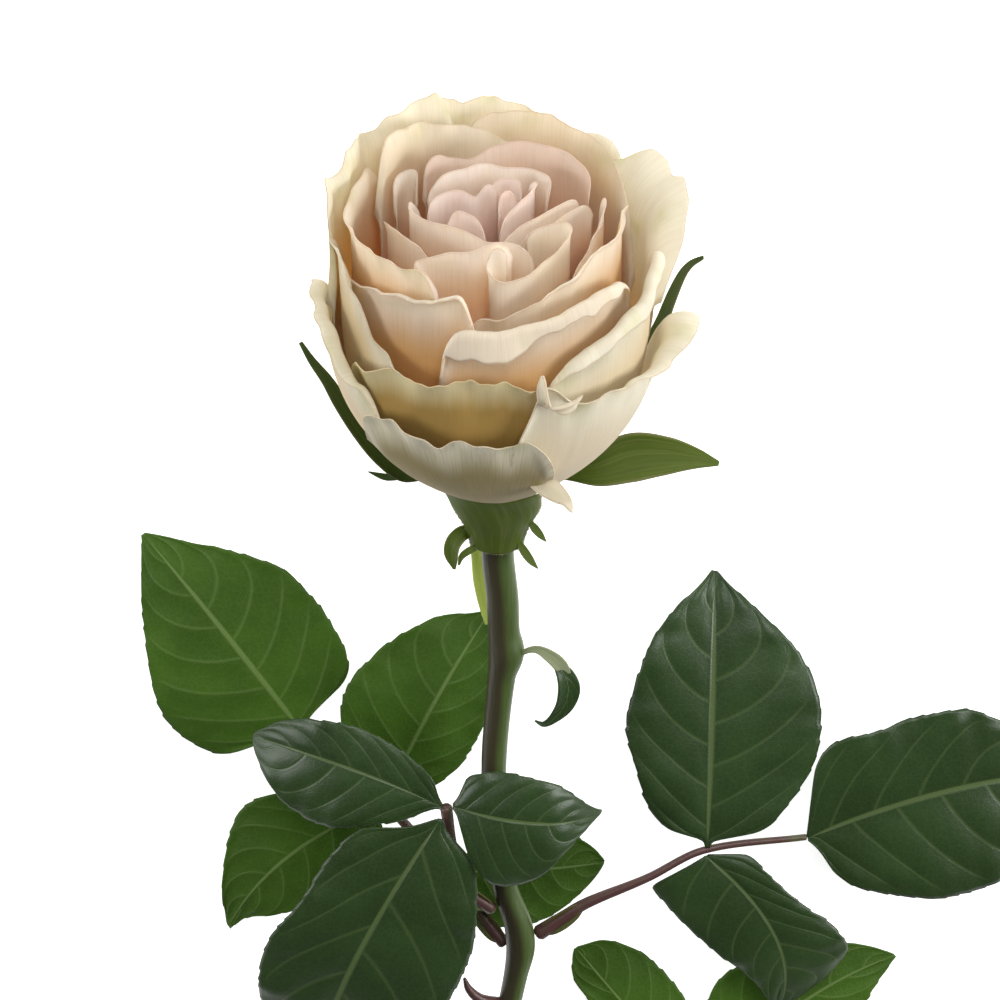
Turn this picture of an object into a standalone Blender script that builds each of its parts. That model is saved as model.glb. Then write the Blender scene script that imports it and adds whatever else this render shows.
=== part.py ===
"""A cut rose lying on its side: a double bloom of separate petals on a hip with five sepals,
one stem with prickles and a side bud, and four compound leaves.

World frame: the rose lies on z = 0 along Y, bloom towards +Y, cut end towards -Y.
Bloom frame: x is world X, z runs up the bloom's own axis, and y is its underside as it lies.
Lengths in the tables are millimetres, angles are degrees."""

import math

import bmesh
import bpy
from mathutils import Matrix, Vector

MM = 0.001

# Where the rose lies
PLACE = Vector((-26.2, 127.2, 0.0))  # from the foot of the petals to the middle of the footprint
PETAL_FOOT_HEIGHT = 25.9
BLOOM_LIFT = 10.0  # the bloom's axis above the horizontal

# The bloom as a whole
FOOT_SHARE = 0.24  # a petal's distance from the axis at its foot, as a share of that at its rim
SHOULDER_HEIGHT = 44.0  # where the bloom reaches its full width
SHOULDER_ROUND = 2.8
DOME_RISE = 6.0  # the innermost petals stand this much higher than the outermost
DOME_RADIUS = 33.0
CLAW_WIDTH = 3.2
PETAL_THICK = 0.5
FOOT_THICK_SHARE = 0.45
LIP_TURN = 4.0  # a rolled lip makes its turn within this length

# Hip, sepals, stem, leaves
HIP_DEPTH = 15.0
HIP_RADIUS = 8.0
STEM_RADIUS = 3.3
SEPAL_THICK = 0.6
LEAF_THICK = 0.6
SEAT_GAP = 0.3

FOOT = Vector((0.0, 0.0, PETAL_FOOT_HEIGHT))
LIFT = math.radians(BLOOM_LIFT)
ACROSS = Vector((1.0, 0.0, 0.0))
UNDER = Vector((0.0, math.sin(LIFT), -math.cos(LIFT)))
ALONG = Vector((0.0, math.cos(LIFT), math.sin(LIFT)))


def bloom_point(x, y, z):
    """A point of the bloom frame in the world frame, both in millimetres."""
    return FOOT + ACROSS * x + UNDER * y + ALONG * z


# ---------------------------------------------------------------- petals
def ring(*stations):
    """Rim stations given as azimuth, radius, height and lip length, as x, y, height and lip."""
    return [
        (r * math.cos(math.radians(a)), r * math.sin(math.radians(a)), z, lip)
        for a, r, z, lip in stations
    ]


def plan(*stations):
    """Rim stations given as x, y and height, with no lip."""
    return [(x, y, z, 0.0) for x, y, z in stations]


# name, colour, claw position along the rim from -1 to 1, roll of the lip, rim stations
# (anticlockwise seen from above the bloom)
PETALS = [
    ("petal_front_guard", "outer", 0.15, 0, ring(
        (214, 33.4, 29, 0), (222, 33.3, 32, 0), (232, 33.0, 33, 0), (243, 32.8, 31, 0),
        (255, 32.6, 30, 0), (264, 32.5, 33, 0), (272, 32.4, 30, 0), (281, 32.3, 31, 0),
        (287, 32.2, 30, 0), (292, 32.1, 26, 0))),
    ("petal_front", "outer", -0.2, 0, ring(
        (200, 31.1, 32, 0), (205, 31.0, 36, 0), (210, 30.9, 39, 0), (218, 31.0, 41, 0),
        (228, 30.6, 42, 0), (240, 30.2, 42.5, 0), (252, 29.8, 43, 0), (264, 29.4, 44, 0),
        (275, 29.2, 43.5, 0), (285, 29.1, 42, 0), (289, 29.0, 38.5, 0), (292, 29.0, 34, 0))),
    ("petal_right_lip", "outer", 0.1, 100, ring(
        (275, 30.7, 31, 0.4), (281, 30.7, 36.5, 0.5), (286, 30.8, 41.5, 3), (290, 30.8, 41, 4),
        (294, 30.8, 39, 3.2), (298, 30.7, 37.5, 1), (303, 30.8, 37, 0.5),
        (315, 31.0, 36.5, 0.8), (326, 31.3, 35, 2.5), (337, 31.6, 33, 5),
        (347, 31.9, 33, 9), (356, 32.1, 34, 10.5), (5, 32.2, 34, 9), (14, 32.2, 32, 4))),
    ("petal_right_rolled", "outer", -0.1, 150, ring(
        (287, 27.9, 41.5, 1.2), (295, 27.9, 43, 3.5), (304, 28.0, 44.5, 5),
        (314, 28.2, 46, 5), (325, 28.6, 47.5, 5), (338, 29.2, 49.5, 5),
        (350, 29.6, 52, 4.5), (0, 29.6, 54, 3.5), (6, 29.3, 53, 2))),
    ("petal_right_flared", "outer", 0.0, 75, ring(
        (8, 30.7, 43, 10), (15, 30.6, 45, 14), (24, 30.5, 47.5, 17), (32, 30.4, 50, 14.5),
        (38, 30.3, 53, 8), (42, 30.2, 56, 2), (47, 30.2, 56.5, 0.8), (54, 30.2, 54, 0.5))),
    ("petal_back_sliver", "outer", 0.2, 60, ring(
        (42, 33.4, 56, 1), (46, 33.4, 60, 2), (52, 33.4, 61.5, 2.5), (59, 33.4, 61.5, 2),
        (67, 33.6, 60, 1.2), (75, 33.6, 55, 0.6))),
    ("petal_back", "outer", 0.1, 0, ring(
        (62, 32.0, 57, 0), (69, 32.1, 64, 0), (79, 32.2, 67.5, 0), (91, 32.3, 69, 0),
        (103, 32.4, 69.5, 0), (115, 32.6, 69, 0), (126, 32.8, 64, 0))),
    ("petal_left_guard", "outer", -0.3, 0, ring(
        (104, 30.4, 64, 0), (108, 30.6, 71.5, 0), (117, 30.8, 72, 0), (127, 31.0, 70.5, 0),
        (138, 31.1, 69, 0), (149, 31.2, 69, 0), (160, 31.4, 67, 0), (170, 31.6, 65, 0),
        (179, 31.8, 60, 0), (186, 32.0, 52, 0))),
    ("petal_left", "outer", 0.1, 0, ring(
        (168, 29.9, 50, 0), (178, 30.1, 57, 0), (190, 30.1, 58, 0), (201, 29.9, 57, 0),
        (209, 29.6, 54.5, 0), (216, 29.5, 49.5, 0), (224, 29.3, 45, 0), (233, 29.1, 43, 0),
        (242, 28.4, 41, 0))),
    ("petal_left_low", "outer", 0.0, 90, ring(
        (160, 33.2, 38, 1), (170, 33.3, 42, 2.5), (182, 33.3, 44.5, 4.5), (193, 33.1, 43, 5),
        (203, 32.8, 40.5, 6), (211, 32.4, 36, 5.5), (219, 32.0, 34, 3), (226, 31.9, 32, 0.6))),
    ("petal_back_right", "middle", 0.2, 0, ring(
        (22, 28.0, 46, 0), (29, 28.2, 57, 0), (36, 28.3, 62, 0), (45, 28.4, 65, 0),
        (55, 28.5, 67, 0), (67, 28.5, 68, 0), (82, 28.5, 69, 0), (97, 28.5, 66.5, 0),
        (110, 28.5, 61, 0))),
    ("petal_back_inner", "middle", -0.2, 0, ring(
        (72, 25.0, 55, 0), (80, 25.2, 62, 0), (88, 25.3, 64, 0), (99, 25.4, 66.5, 0),
        (113, 25.5, 68.5, 0), (127, 25.6, 70, 0), (139, 25.6, 70.5, 0), (148, 25.3, 69, 0),
        (155, 24.8, 61, 0))),
    ("petal_left_middle", "middle", 0.2, 0, ring(
        (140, 27.5, 59, 0), (147, 27.7, 63.5, 0), (157, 27.9, 64.5, 0), (168, 28.0, 63, 0),
        (180, 27.8, 61.5, 0), (192, 27.2, 62, 0), (204, 26.5, 62.5, 0), (216, 25.8, 62.5, 0),
        (227, 25.1, 62.5, 0), (237, 24.4, 62, 0), (244, 23.8, 59, 0))),
    ("petal_front_left", "middle", -0.1, 120, ring(
        (185, 28.9, 49, 0.5), (197, 28.5, 53, 0.6), (210, 27.8, 54.5, 0.8),
        (222, 27.1, 56, 1.2), (233, 26.6, 56.5, 1.8), (243, 26.0, 56.5, 2.2),
        (251, 25.5, 58, 2.6), (256, 25.3, 58, 2.2), (260, 25.4, 55.5, 1.2),
        (264, 25.5, 51, 0.5))),
    ("petal_front_rolled", "middle", 0.1, 165, ring(
        (248, 27.9, 46, 0.8), (251, 28.1, 50, 4.5), (255, 28.1, 52, 8),
        (261, 27.9, 52.2, 9), (268, 27.6, 52, 8.5),
        (279, 27.0, 52.5, 6.5), (291, 26.5, 53, 5), (303, 26.1, 54, 5), (315, 25.9, 54.5, 5),
        (327, 25.7, 54, 4.5), (337, 25.7, 52, 3), (345, 25.8, 49, 1.5))),
    ("petal_right_middle", "middle", -0.15, 90, ring(
        (255, 22.4, 51, 0.5), (262, 22.5, 54, 0.6), (270, 22.5, 53, 0.6), (281, 22.5, 54.5, 0.8),
        (293, 22.5, 56.5, 1.2), (305, 22.6, 58.5, 1.6), (317, 22.7, 60.5, 1.6),
        (330, 22.9, 62, 1.2), (343, 23.2, 62.5, 0.8), (356, 23.6, 63, 0.6), (9, 24.2, 62, 0.5),
        (20, 24.6, 58, 0.5))),
    ("petal_blush_front", "inner", 0.2, 0, plan(
        (-11.0, -17.4, 56.5), (-13.6, -16.8, 59), (-15.6, -14.6, 60), (-15.0, -12.4, 60),
        (-12.2, -13.0, 61), (-8.5, -14.8, 63), (-4.0, -15.8, 64.5), (0.0, -15.6, 65.5),
        (3.0, -14.5, 64))),
    ("petal_curled_tip", "inner", 0.0, 0, plan(
        (2.0, -17.6, 66), (-0.4, -17.8, 65), (-1.4, -19.0, 62), (0.6, -20.0, 60),
        (4.5, -18.8, 60), (9.0, -15.0, 61.5), (12.4, -11.0, 63), (13.8, -8.2, 64),
        (12.6, -6.2, 64), (9.0, -6.2, 63), (5.6, -7.2, 62))),
    ("petal_blush_left", "inner", 0.1, 0, plan(
        (-14.6, 6.4, 60), (-16.4, 6.2, 61.5), (-16.6, 3.6, 61.5), (-13.2, 0.2, 61.5),
        (-8.0, -4.2, 62), (-2.5, -8.0, 62), (3.0, -10.8, 62.5), (7.2, -12.2, 61))),
    ("petal_left_inner", "inner", 0.0, 0, plan(
        (-20.8, 6.4, 56), (-20.8, 3.0, 59), (-19.6, -0.6, 60), (-17.6, -4.0, 60),
        (-14.6, -7.2, 60), (-11.6, -10.0, 58.5))),
    ("petal_heart_front", "heart", 0.0, 0, plan(
        (-10.0, 0.4, 60), (-7.8, 1.6, 62), (-5.2, 0.6, 62), (-3.2, -1.6, 61.5),
        (-1.8, -3.8, 60))),
    ("petal_heart_back", "heart", 0.0, 0, plan(
        (0.2, 8.8, 62.5), (-1.6, 8.8, 63.5), (-4.0, 7.0, 62), (-7.5, 8.4, 62.5),
        (-11.2, 7.0, 62), (-13.2, 4.0, 61))),
    ("petal_blush_back", "inner", 0.0, 0, plan(
        (9.2, 7.4, 61), (9.4, 10.2, 64), (6.6, 13.0, 64.5), (1.0, 13.8, 64.5),
        (-2.4, 14.0, 65), (-6.2, 13.2, 64.5), (-10.4, 11.4, 64), (-13.2, 9.4, 62))),
    ("petal_heart_diagonal", "heart", 0.0, 0, plan(
        (0.4, -3.0, 60.5), (1.4, -0.4, 62), (4.0, 2.8, 63), (6.3, 6.0, 64),
        (7.2, 8.8, 64), (6.0, 10.8, 63))),
    ("petal_heart_tip", "heart", 0.0, 0, plan(
        (0.2, 2.4, 61), (0.6, 4.8, 63.5), (2.4, 6.0, 64), (4.0, 5.6, 62.5))),
    ("petal_heart_ring", "heart", 0.0, 0, plan(
        (4.6, 8.2, 62), (4.2, 10.2, 63.5), (1.8, 11.2, 63.5), (-1.2, 11.0, 62.5))),
    ("petal_diagonal", "inner", 0.0, 0, plan(
        (0.2, -5.8, 60.5), (3.8, -3.8, 61.5), (8.2, 0.0, 62.5), (12.6, 3.8, 63),
        (15.6, 6.8, 62.5))),
    ("petal_diagonal_outer", "inner", 0.0, 0, plan(
        (3.8, -5.8, 60), (7.4, -3.8, 61.5), (11.4, -0.8, 62), (15.0, 2.2, 62.5),
        (18.2, 5.4, 61.5))),
    ("petal_right_inner", "inner", 0.0, 0, plan(
        (13.4, -14.4, 56.5), (16.4, -10.2, 60), (18.6, -4.8, 61.5), (19.8, 0.4, 62.5),
        (20.4, 5.4, 62.5), (19.8, 9.0, 60))),
    ("petal_mauve_back", "inner", 0.0, 0, plan(
        (17.4, 8.2, 60), (17.6, 10.8, 64), (15.2, 13.6, 66), (11.0, 16.0, 67.5),
        (5.0, 17.6, 68), (-0.6, 18.0, 66.5), (-4.8, 17.2, 64.5), (-8.8, 16.2, 65),
        (-11.4, 15.6, 66), (-13.4, 13.8, 65), (-13.6, 11.8, 61))),
    ("petal_left_curl", "inner", 0.0, 0, plan(
        (-15.8, 11.0, 60), (-15.8, 13.8, 63.5), (-17.8, 13.8, 63.5), (-19.2, 11.8, 62.5),
        (-19.4, 9.4, 59))),
]


# ---------------------------------------------------------------- tables of the green parts
# Sepals in the bloom frame: name, direction its inner face looks, radius it bends round across
# its width, then stations x, y, z and half width
SEPALS = [
    ("sepal_left", (0.3, -0.8, 0.5), 6, (
        (-9.2, -1.0, -1.9, 2.2), (-13.5, 0.2, -0.8, 2.0), (-18.4, 1.3, 3.5, 1.8),
        (-22.6, 2.8, 9.6, 1.8), (-27.4, 5.2, 14.8, 1.8), (-32.8, 6.4, 20.0, 1.4),
        (-36.6, 7.4, 24.0, 0.8), (-38.8, 8.2, 27.8, 0.4))),
    ("sepal_back_right", (-0.6, -0.5, 0.6), 6, (
        (7.7, 4.3, -2.0, 2.0), (13.2, 8.2, -0.4, 2.2), (20.4, 12.0, 5.0, 2.4),
        (26.6, 14.0, 16.0, 2.2), (29.8, 13.6, 27.0, 2.0), (31.0, 12.0, 36.0, 1.6),
        (32.4, 10.6, 42.0, 1.2), (35.0, 9.2, 45.4, 0.8), (38.6, 8.0, 47.6, 0.4))),
    ("sepal_right", (0.0, -0.8, 0.6), 14, (
        (9.2, -1.1, -2.4, 1.8), (14.0, 0.6, -1.6, 3.0), (20.4, 2.4, 0.8, 4.6),
        (27.0, 3.8, 3.2, 5.0), (34.0, 3.6, 3.8, 3.9), (39.6, 3.0, 3.6, 2.2),
        (44.4, 2.6, 2.6, 0.5))),
    ("sepal_hanging", (-0.2, 0.9, -0.3), 8, (
        (-4.6, 7.6, -1.6, 2.6), (-5.4, 8.0, -6.0, 2.4), (-5.4, 6.6, -13.0, 2.2),
        (-4.8, 5.2, -20.0, 1.9), (-4.2, 4.6, -27.0, 1.3), (-3.8, 4.4, -33.0, 0.4))),
]
# The front sepal is folded down over the hip like an apron: azimuth of each edge and height
APRON = ((-148, -30, 0.0), (-149, -30, -1.4), (-156, -29, -4.4), (-162, -29, -8.0),
         (-166, -30, -11.2), (-168, -50, -13.2))
APRON_CLEARANCE = 0.9

# Hip profile, top to bottom: radius and height under the petals
HIP_PROFILE = ((0.0, 5.4), (4.0, 2.6), (HIP_RADIUS, -0.4), (HIP_RADIUS + 0.2, -1.4), (7.4, -4.6),
               (5.9, -9.0), (4.2, -12.6), (STEM_RADIUS + 0.2, -HIP_DEPTH), (0.0, -HIP_DEPTH))

# Stem stations x, y, z and radius
STEM = ((0.0, -15.2, 23.2, STEM_RADIUS), (0.3, -20, 22.5, STEM_RADIUS),
        (1.1, -28, 21.7, STEM_RADIUS), (1.4, -36, 21.0, STEM_RADIUS), (1.9, -41, 20.6, 3.7),
        (0.9, -47, 20.2, 2.9), (-0.7, -69, 18.9, 2.6), (0.2, -88, 17.9, 2.5),
        (1.8, -99, 17.3, 2.6), (4.4, -108, 16.8, 3.0), (5.0, -114, 16.4, 3.1),
        (4.0, -121, 16.0, 2.6), (2.2, -132, 15.2, 2.5), (0.8, -146, 14.2, 2.9),
        (0.2, -152, 13.8, 2.6), (-1.5, -190, 11.4, 2.6), (-2.5, -235, 8.6, 2.7),
        (-1.5, -285, 5.6, 2.8), (0.5, -330, 3.3, 3.0))
# Prickles: distance along -Y, side angle round the stem, length
PRICKLES = ((-84, 200, 4.0), (-167, 20, 5.0), (-181, 150, 5.5), (-212, -10, 5.5),
            (-226, 170, 5.0), (-262, 30, 5.5))
BUD = ((2.6, -129.0, 15.4, 1.4), (-3.4, -126.4, 17.6, 1.2), (-6.0, -123.4, 18.4, 0.9),
       (-7.0, -120.4, 18.8, 0.35))

# Leaf stalks: stations x, y, z and radius, from the stem outwards
STALKS = [
    ("stalk_front_left", ((-1.3, -103.5, 17.9, 1.4), (-6.6, -97.0, 20.6, 1.2),
                          (-9.4, -85.0, 23.6, 1.1), (-10.6, -74.8, 25.4, 1.3))),
    ("stalk_back_left", ((1.4, -114.6, 13.7, 1.4), (-10.5, -100.4, 8.6, 1.2),
                         (-24.0, -84.4, 5.8, 1.0), (-33.4, -74.6, 4.2, 0.9),
                         (-41.2, -68.6, 3.0, 0.8))),
    ("stalk_right", ((9.0, -110.9, 15.7, 1.7), (13.5, -107.4, 15.8, 1.4),
                     (19.0, -103.4, 16.0, 1.2), (31.8, -97.6, 15.4, 0.9),
                     (44.0, -92.0, 13.2, 0.8), (65.6, -90.2, 10.8, 0.7))),
    ("stalk_lower_right", ((3.6, -152.2, 12.2, 1.6), (14.0, -158.0, 8.0, 1.2),
                           (31.6, -157.0, 4.2, 1.0), (49.4, -159.4, 2.8, 0.9),
                           (61.0, -162.0, 2.0, 0.8))),
]

# Leaflets: name, foot, tip, rise of the midrib, fold of the two halves, droop of the margins,
# curl of the tip, roll about the midrib, sideways sweep of the midrib, then the left and right
# half widths at these shares of the length
OUTLINE_AT = (0.0, 0.03, 0.07, 0.15, 0.3, 0.45, 0.6, 0.75, 0.88, 0.96, 1.0)
LEAFLETS = [
    ("leaflet_front_left_side", (-11.5, -74.1, 26.3), (-51.6, -63.7, 16.0),
     2.5, 0.10, 3.0, 2.5, 6, -2.5,
     (0.5, 1.2, 2.8, 6.4, 10.4, 14.0, 15.0, 12.6, 7.4, 3.6, 0.5),
     (0.5, 2.0, 4.6, 6.4, 8.0, 8.8, 8.7, 7.4, 4.9, 2.2, 0.5)),
    ("leaflet_front_left_end", (-11.7, -76.8, 26.6), (-40.0, -157.0, 5.0),
     9.0, 0.14, 4.0, 2.0, 0, -6,
     (0.5, 3.4, 10.6, 16.0, 21.6, 22.6, 20.4, 15.0, 8.6, 3.4, 0.5),
     (0.5, 5.0, 13.0, 15.6, 16.4, 18.6, 17.0, 12.0, 6.6, 2.6, 0.5)),
    ("leaflet_front_left_over", (-9.2, -73.8, 26.6), (22.2, -77.9, 25.0),
     4.0, 0.05, 4.5, 5.0, -9, -0.5,
     (0.5, 2.4, 6.6, 8.4, 9.6, 9.6, 8.8, 6.6, 3.4, 1.6, 0.5),
     (0.5, 1.6, 4.6, 10.5, 15.6, 16.0, 13.6, 8.0, 3.6, 1.6, 0.5)),
    ("leaflet_back_left_end", (-41.8, -68.3, 3.0), (-73.6, -23.4, 1.0),
     3.4, 0.02, 2.0, 0.0, 0, -1.5,
     (0.5, 6.0, 16.0, 20.4, 23.0, 21.2, 16.8, 11.6, 6.0, 2.2, 0.5),
     (0.5, 5.0, 14.0, 17.8, 19.4, 19.6, 18.4, 13.2, 6.6, 2.6, 0.5)),
    ("leaflet_back_left_upper", (-23.3, -82.7, 5.9), (-1.5, -40.6, 2.5),
     3.0, 0.02, 2.0, 0.0, 0, 1.5,
     (0.5, 1.8, 6.6, 12.5, 17.0, 17.8, 16.0, 13.2, 8.6, 3.0, 0.5),
     (0.5, 1.6, 5.4, 8.6, 11.4, 12.0, 11.0, 8.4, 4.8, 2.0, 0.5)),
    ("leaflet_back_left_lower", (-24.9, -85.5, 5.7), (-58.5, -118.1, 1.0),
     2.5, 0.02, 2.0, 0.0, 0, -5.0,
     (0.5, 1.6, 5.4, 9.5, 13.0, 14.0, 12.6, 8.6, 3.4, 1.2, 0.5),
     (0.5, 1.6, 5.4, 9.5, 13.6, 14.8, 12.6, 8.8, 5.2, 2.0, 0.5)),
    ("leaflet_back_left_behind", (-8.8, -100.4, 7.5), (23.1, -101.7, 1.5),
     1.5, 0.01, 2.0, 0.0, 0, 0,
     (0.5, 1.6, 5.0, 8.6, 11.6, 12.0, 11.0, 8.4, 5.2, 2.4, 0.5),
     (0.5, 1.8, 6.0, 10.8, 14.4, 15.0, 13.8, 10.4, 6.4, 3.0, 0.5)),
    ("leaflet_right_upper", (44.6, -91.0, 13.9), (45.4, -31.4, 2.6),
     3.0, 0.10, 2.5, 1.0, 0, 0,
     (0.5, 1.4, 8.2, 12.6, 15.6, 18.0, 16.4, 13.4, 8.0, 2.6, 0.5),
     (0.5, 1.8, 10.6, 15.6, 21.2, 23.0, 21.8, 16.8, 8.6, 3.0, 0.5)),
    ("leaflet_right_end", (66.0, -90.1, 11.3), (126.6, -78.6, 2.4),
     3.5, 0.12, 3.0, 1.5, 0, 5.5,
     (0.5, 8.0, 16.0, 19.6, 18.8, 19.0, 18.4, 12.8, 7.0, 2.5, 0.5),
     (0.5, 4.0, 10.6, 16.8, 22.8, 25.6, 25.0, 19.0, 10.6, 4.0, 0.5)),
    ("leaflet_right_lower", (44.4, -93.3, 13.3), (61.5, -135.6, 8.0),
     4.0, 0.10, 4.0, 1.0, 0, 7,
     (0.5, 4.0, 6.8, 7.0, 7.4, 9.6, 12.8, 14.4, 10.4, 3.8, 0.5),
     (0.5, 9.0, 15.0, 16.6, 16.4, 14.4, 10.8, 6.8, 3.6, 1.6, 0.5)),
    ("leaflet_lower_right_first", (45.2, -157.3, 4.2), (17.2, -123.2, 1.6),
     2.0, 0.03, 1.5, 0.0, 0, 0,
     (0.5, 1.0, 2.0, 4.2, 7.0, 8.0, 6.6, 5.4, 5.0, 2.6, 0.5),
     (0.5, 1.4, 3.0, 6.0, 9.0, 11.2, 11.8, 11.0, 8.6, 5.4, 0.5)),
    ("leaflet_lower_right_upper", (49.7, -157.7, 3.4), (86.9, -125.3, 1.2),
     3.0, 0.05, 1.5, 0.0, 0, 6.0,
     (0.5, 1.8, 6.6, 12.0, 16.2, 16.2, 14.4, 11.4, 8.0, 4.0, 0.5),
     (0.5, 1.8, 6.0, 10.6, 14.0, 14.0, 12.0, 8.4, 4.4, 1.8, 0.5)),
    ("leaflet_lower_right_end", (61.4, -162.0, 2.5), (108.0, -174.0, 1.2),
     2.5, 0.05, 1.5, 0.0, 0, 0,
     (0.5, 1.8, 6.4, 12.0, 16.6, 17.0, 15.4, 11.6, 6.4, 2.4, 0.5),
     (0.5, 1.8, 6.4, 12.0, 16.4, 16.6, 15.0, 11.2, 6.0, 2.4, 0.5)),
]
# Small leaf at the upper node: stations x, y, z and half width
BRACT = ((6.2, -41.6, 21.6, 0.9), (8.4, -39.8, 23.2, 1.2), (11.6, -41.2, 24.0, 1.9),
         (14.2, -44.6, 24.4, 2.3), (15.0, -49.4, 23.8, 2.1), (13.2, -54.6, 22.6, 1.3),
         (9.8, -57.4, 21.4, 0.4))


def shoulder(height):
    """Share of its full distance from the axis that a petal has reached at this height."""
    q = min(1.0, max(0.0, height / SHOULDER_HEIGHT))
    return FOOT_SHARE + (1 - FOOT_SHARE) * (1 - (1 - q) ** SHOULDER_ROUND)


def smooth(q):
    """0 to 1 with level ends."""
    q = min(1.0, max(0.0, q))
    return q * q * (3 - 2 * q)


def line_with(spots, run):
    """f(v) for v from -1 to 1: a smooth line through the spots, and each spot's v."""
    last = len(spots) - 1
    slopes = []
    for i in range(last + 1):
        a = max(0, i - 1)
        b = min(last, i + 1)
        slopes.append((spots[b] - spots[a]) / (run[b] - run[a]))

    def at(v):
        r = (v + 1) / 2 * run[-1]
        i = 0
        while i < last - 1 and r > run[i + 1]:
            i += 1
        gap = run[i + 1] - run[i]
        q = min(1.0, max(0.0, (r - run[i]) / gap))
        p, m = spots[i], slopes[i] * gap
        p2, m2 = spots[i + 1], slopes[i + 1] * gap
        return (
            p * (2 * q**3 - 3 * q**2 + 1)
            + m * (q**3 - 2 * q**2 + q)
            + p2 * (3 * q**2 - 2 * q**3)
            + m2 * (q**3 - q**2)
        )

    return at, [2 * r / run[-1] - 1 for r in run]


def line_through(stations):
    """A smooth line through rim stations, measured by its length in plan, with that length."""
    spots = [Vector(s) for s in stations]
    run = [0.0]
    for a, b in zip(spots, spots[1:]):
        run.append(run[-1] + (b.xy - a.xy).length)
    return (*line_with(spots, run), run[-1])


def petal_grid(rim, claw, roll, columns, rows, lip_rows):
    """Rows of world points from the petal's foot to its rim and over its lip."""
    at, _, length = line_through(rim)
    grid = []
    for s in rows:
        width_share = CLAW_WIDTH / (length * FOOT_SHARE)
        spread = width_share + (1 - width_share) * smooth(s / 0.6)
        row = []
        for v in columns:
            x, y, top, _ = at(claw + (v - claw) * spread)
            low = DOME_RISE * (1 - math.hypot(x, y) / DOME_RADIUS) + SEAT_GAP
            share = shoulder((top - low) * s)
            row.append(Vector((x * share, y * share, low + (top - low) * s)))
        grid.append(row)
    if any(station[3] for station in rim):
        below, edge = grid[-2], grid[-1]
        lips = [[] for _ in range(lip_rows)]
        for j, v in enumerate(columns):
            side = (at(min(1, v + 0.02)) - at(max(-1, v - 0.02))).xy.normalized()
            up = (edge[j] - below[j]).normalized()
            out = Vector((side.y, -side.x, 0.0))
            out = (out - up * out.dot(up)).normalized()
            length_here = max(0.4, at(v)[3])
            point = edge[j].copy()
            steps = lip_rows * 4
            for k in range(1, steps + 1):
                run = length_here * (k - 0.5) / steps
                turn = math.radians(roll) * smooth(run / min(LIP_TURN, length_here) if roll > 100
                                                   else run / length_here)
                point = point + (up * math.cos(turn) + out * math.sin(turn)) * (length_here / steps)
                if k % 4 == 0:
                    lips[k // 4 - 1].append(point.copy())
        grid += lips
    return [[bloom_point(*p) for p in row] for row in grid]


# ---------------------------------------------------------------- making objects
def clear_scene():
    for obj in list(bpy.data.objects):
        bpy.data.objects.remove(obj)


def collection(name, hidden=False):
    made = bpy.data.collections.new(name)
    made.hide_render = hidden
    bpy.context.scene.collection.children.link(made)
    return made


def material(name, colour, roughness):
    made = bpy.data.materials.new(name)
    made.use_nodes = True
    made.diffuse_color = (*colour, 1.0)
    shader = made.node_tree.nodes["Principled BSDF"]
    shader.inputs["Base Color"].default_value = (*colour, 1.0)
    shader.inputs["Roughness"].default_value = roughness
    shader.inputs["Metallic"].default_value = 0.0
    return made


def placed(point):
    """World millimetres as metres from the middle of the footprint."""
    return (point + PLACE) * MM


def sheet(name, grid, thick, finish, group, thin_foot=1.0):
    """A thin closed shell on a grid of world points."""
    across = len(grid[0])
    mesh = bpy.data.meshes.new(name)
    points = [placed(p) for row in grid for p in row]
    faces = [
        (r * across + c, r * across + c + 1, (r + 1) * across + c + 1, (r + 1) * across + c)
        for r in range(len(grid) - 1)
        for c in range(across - 1)
    ]
    mesh.from_pydata(points, [], faces)
    mesh.shade_smooth()
    mesh.materials.append(finish)
    obj = bpy.data.objects.new(name, mesh)
    group.objects.link(obj)
    body = obj.vertex_groups.new(name="body")
    for r in range(len(grid)):
        share = min(1.0, thin_foot + (1 - thin_foot) * r / 3)
        body.add(range(r * across, (r + 1) * across), share, "REPLACE")
    shell = obj.modifiers.new("thickness", "SOLIDIFY")
    shell.thickness = thick * MM
    shell.offset = 0.0
    shell.use_quality_normals = True
    shell.vertex_group = "body"
    shell.thickness_vertex_group = 0.01
    return obj


def petals(finishes, group):
    for name, colour, claw, roll, rim in PETALS:
        columns = line_through(rim)[1]
        grid = petal_grid(rim, claw, roll, columns, (0, 0.07, 0.2, 0.42, 0.72, 1), 3)
        sheet(name, grid, PETAL_THICK, finishes[colour], group, FOOT_THICK_SHARE)


def tube(name, stations, finish, group, sides=8, step=4.0):
    """A solid round branch through stations of x, y, z and radius."""
    at, _, length = line_through_space(stations)
    count = max(3, round(length / step))
    spots = [at(-1 + 2 * k / count) for k in range(count + 1)]
    mesh = bpy.data.meshes.new(name)
    made = bmesh.new()
    rings = []
    side = None
    for k, spot in enumerate(spots):
        ahead = (spots[min(count, k + 1)] - spots[max(0, k - 1)]).xyz.normalized()
        side = (side - ahead * side.dot(ahead)) if side else ahead.cross(Vector((0, 0, 1)))
        side.normalize()
        other = ahead.cross(side)
        rings.append([
            made.verts.new(placed(spot.xyz + (side * math.cos(a) + other * math.sin(a)) * spot[3]))
            for a in (2 * math.pi * i / sides for i in range(sides))
        ])
    for low, high in zip(rings, rings[1:]):
        for i in range(sides):
            j = (i + 1) % sides
            made.faces.new((low[i], low[j], high[j], high[i]))
    made.faces.new(list(reversed(rings[0])))
    made.faces.new(rings[-1])
    bmesh.ops.recalc_face_normals(made, faces=made.faces)
    made.to_mesh(mesh)
    made.free()
    mesh.shade_smooth()
    mesh.materials.append(finish)
    obj = bpy.data.objects.new(name, mesh)
    group.objects.link(obj)
    return obj


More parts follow.
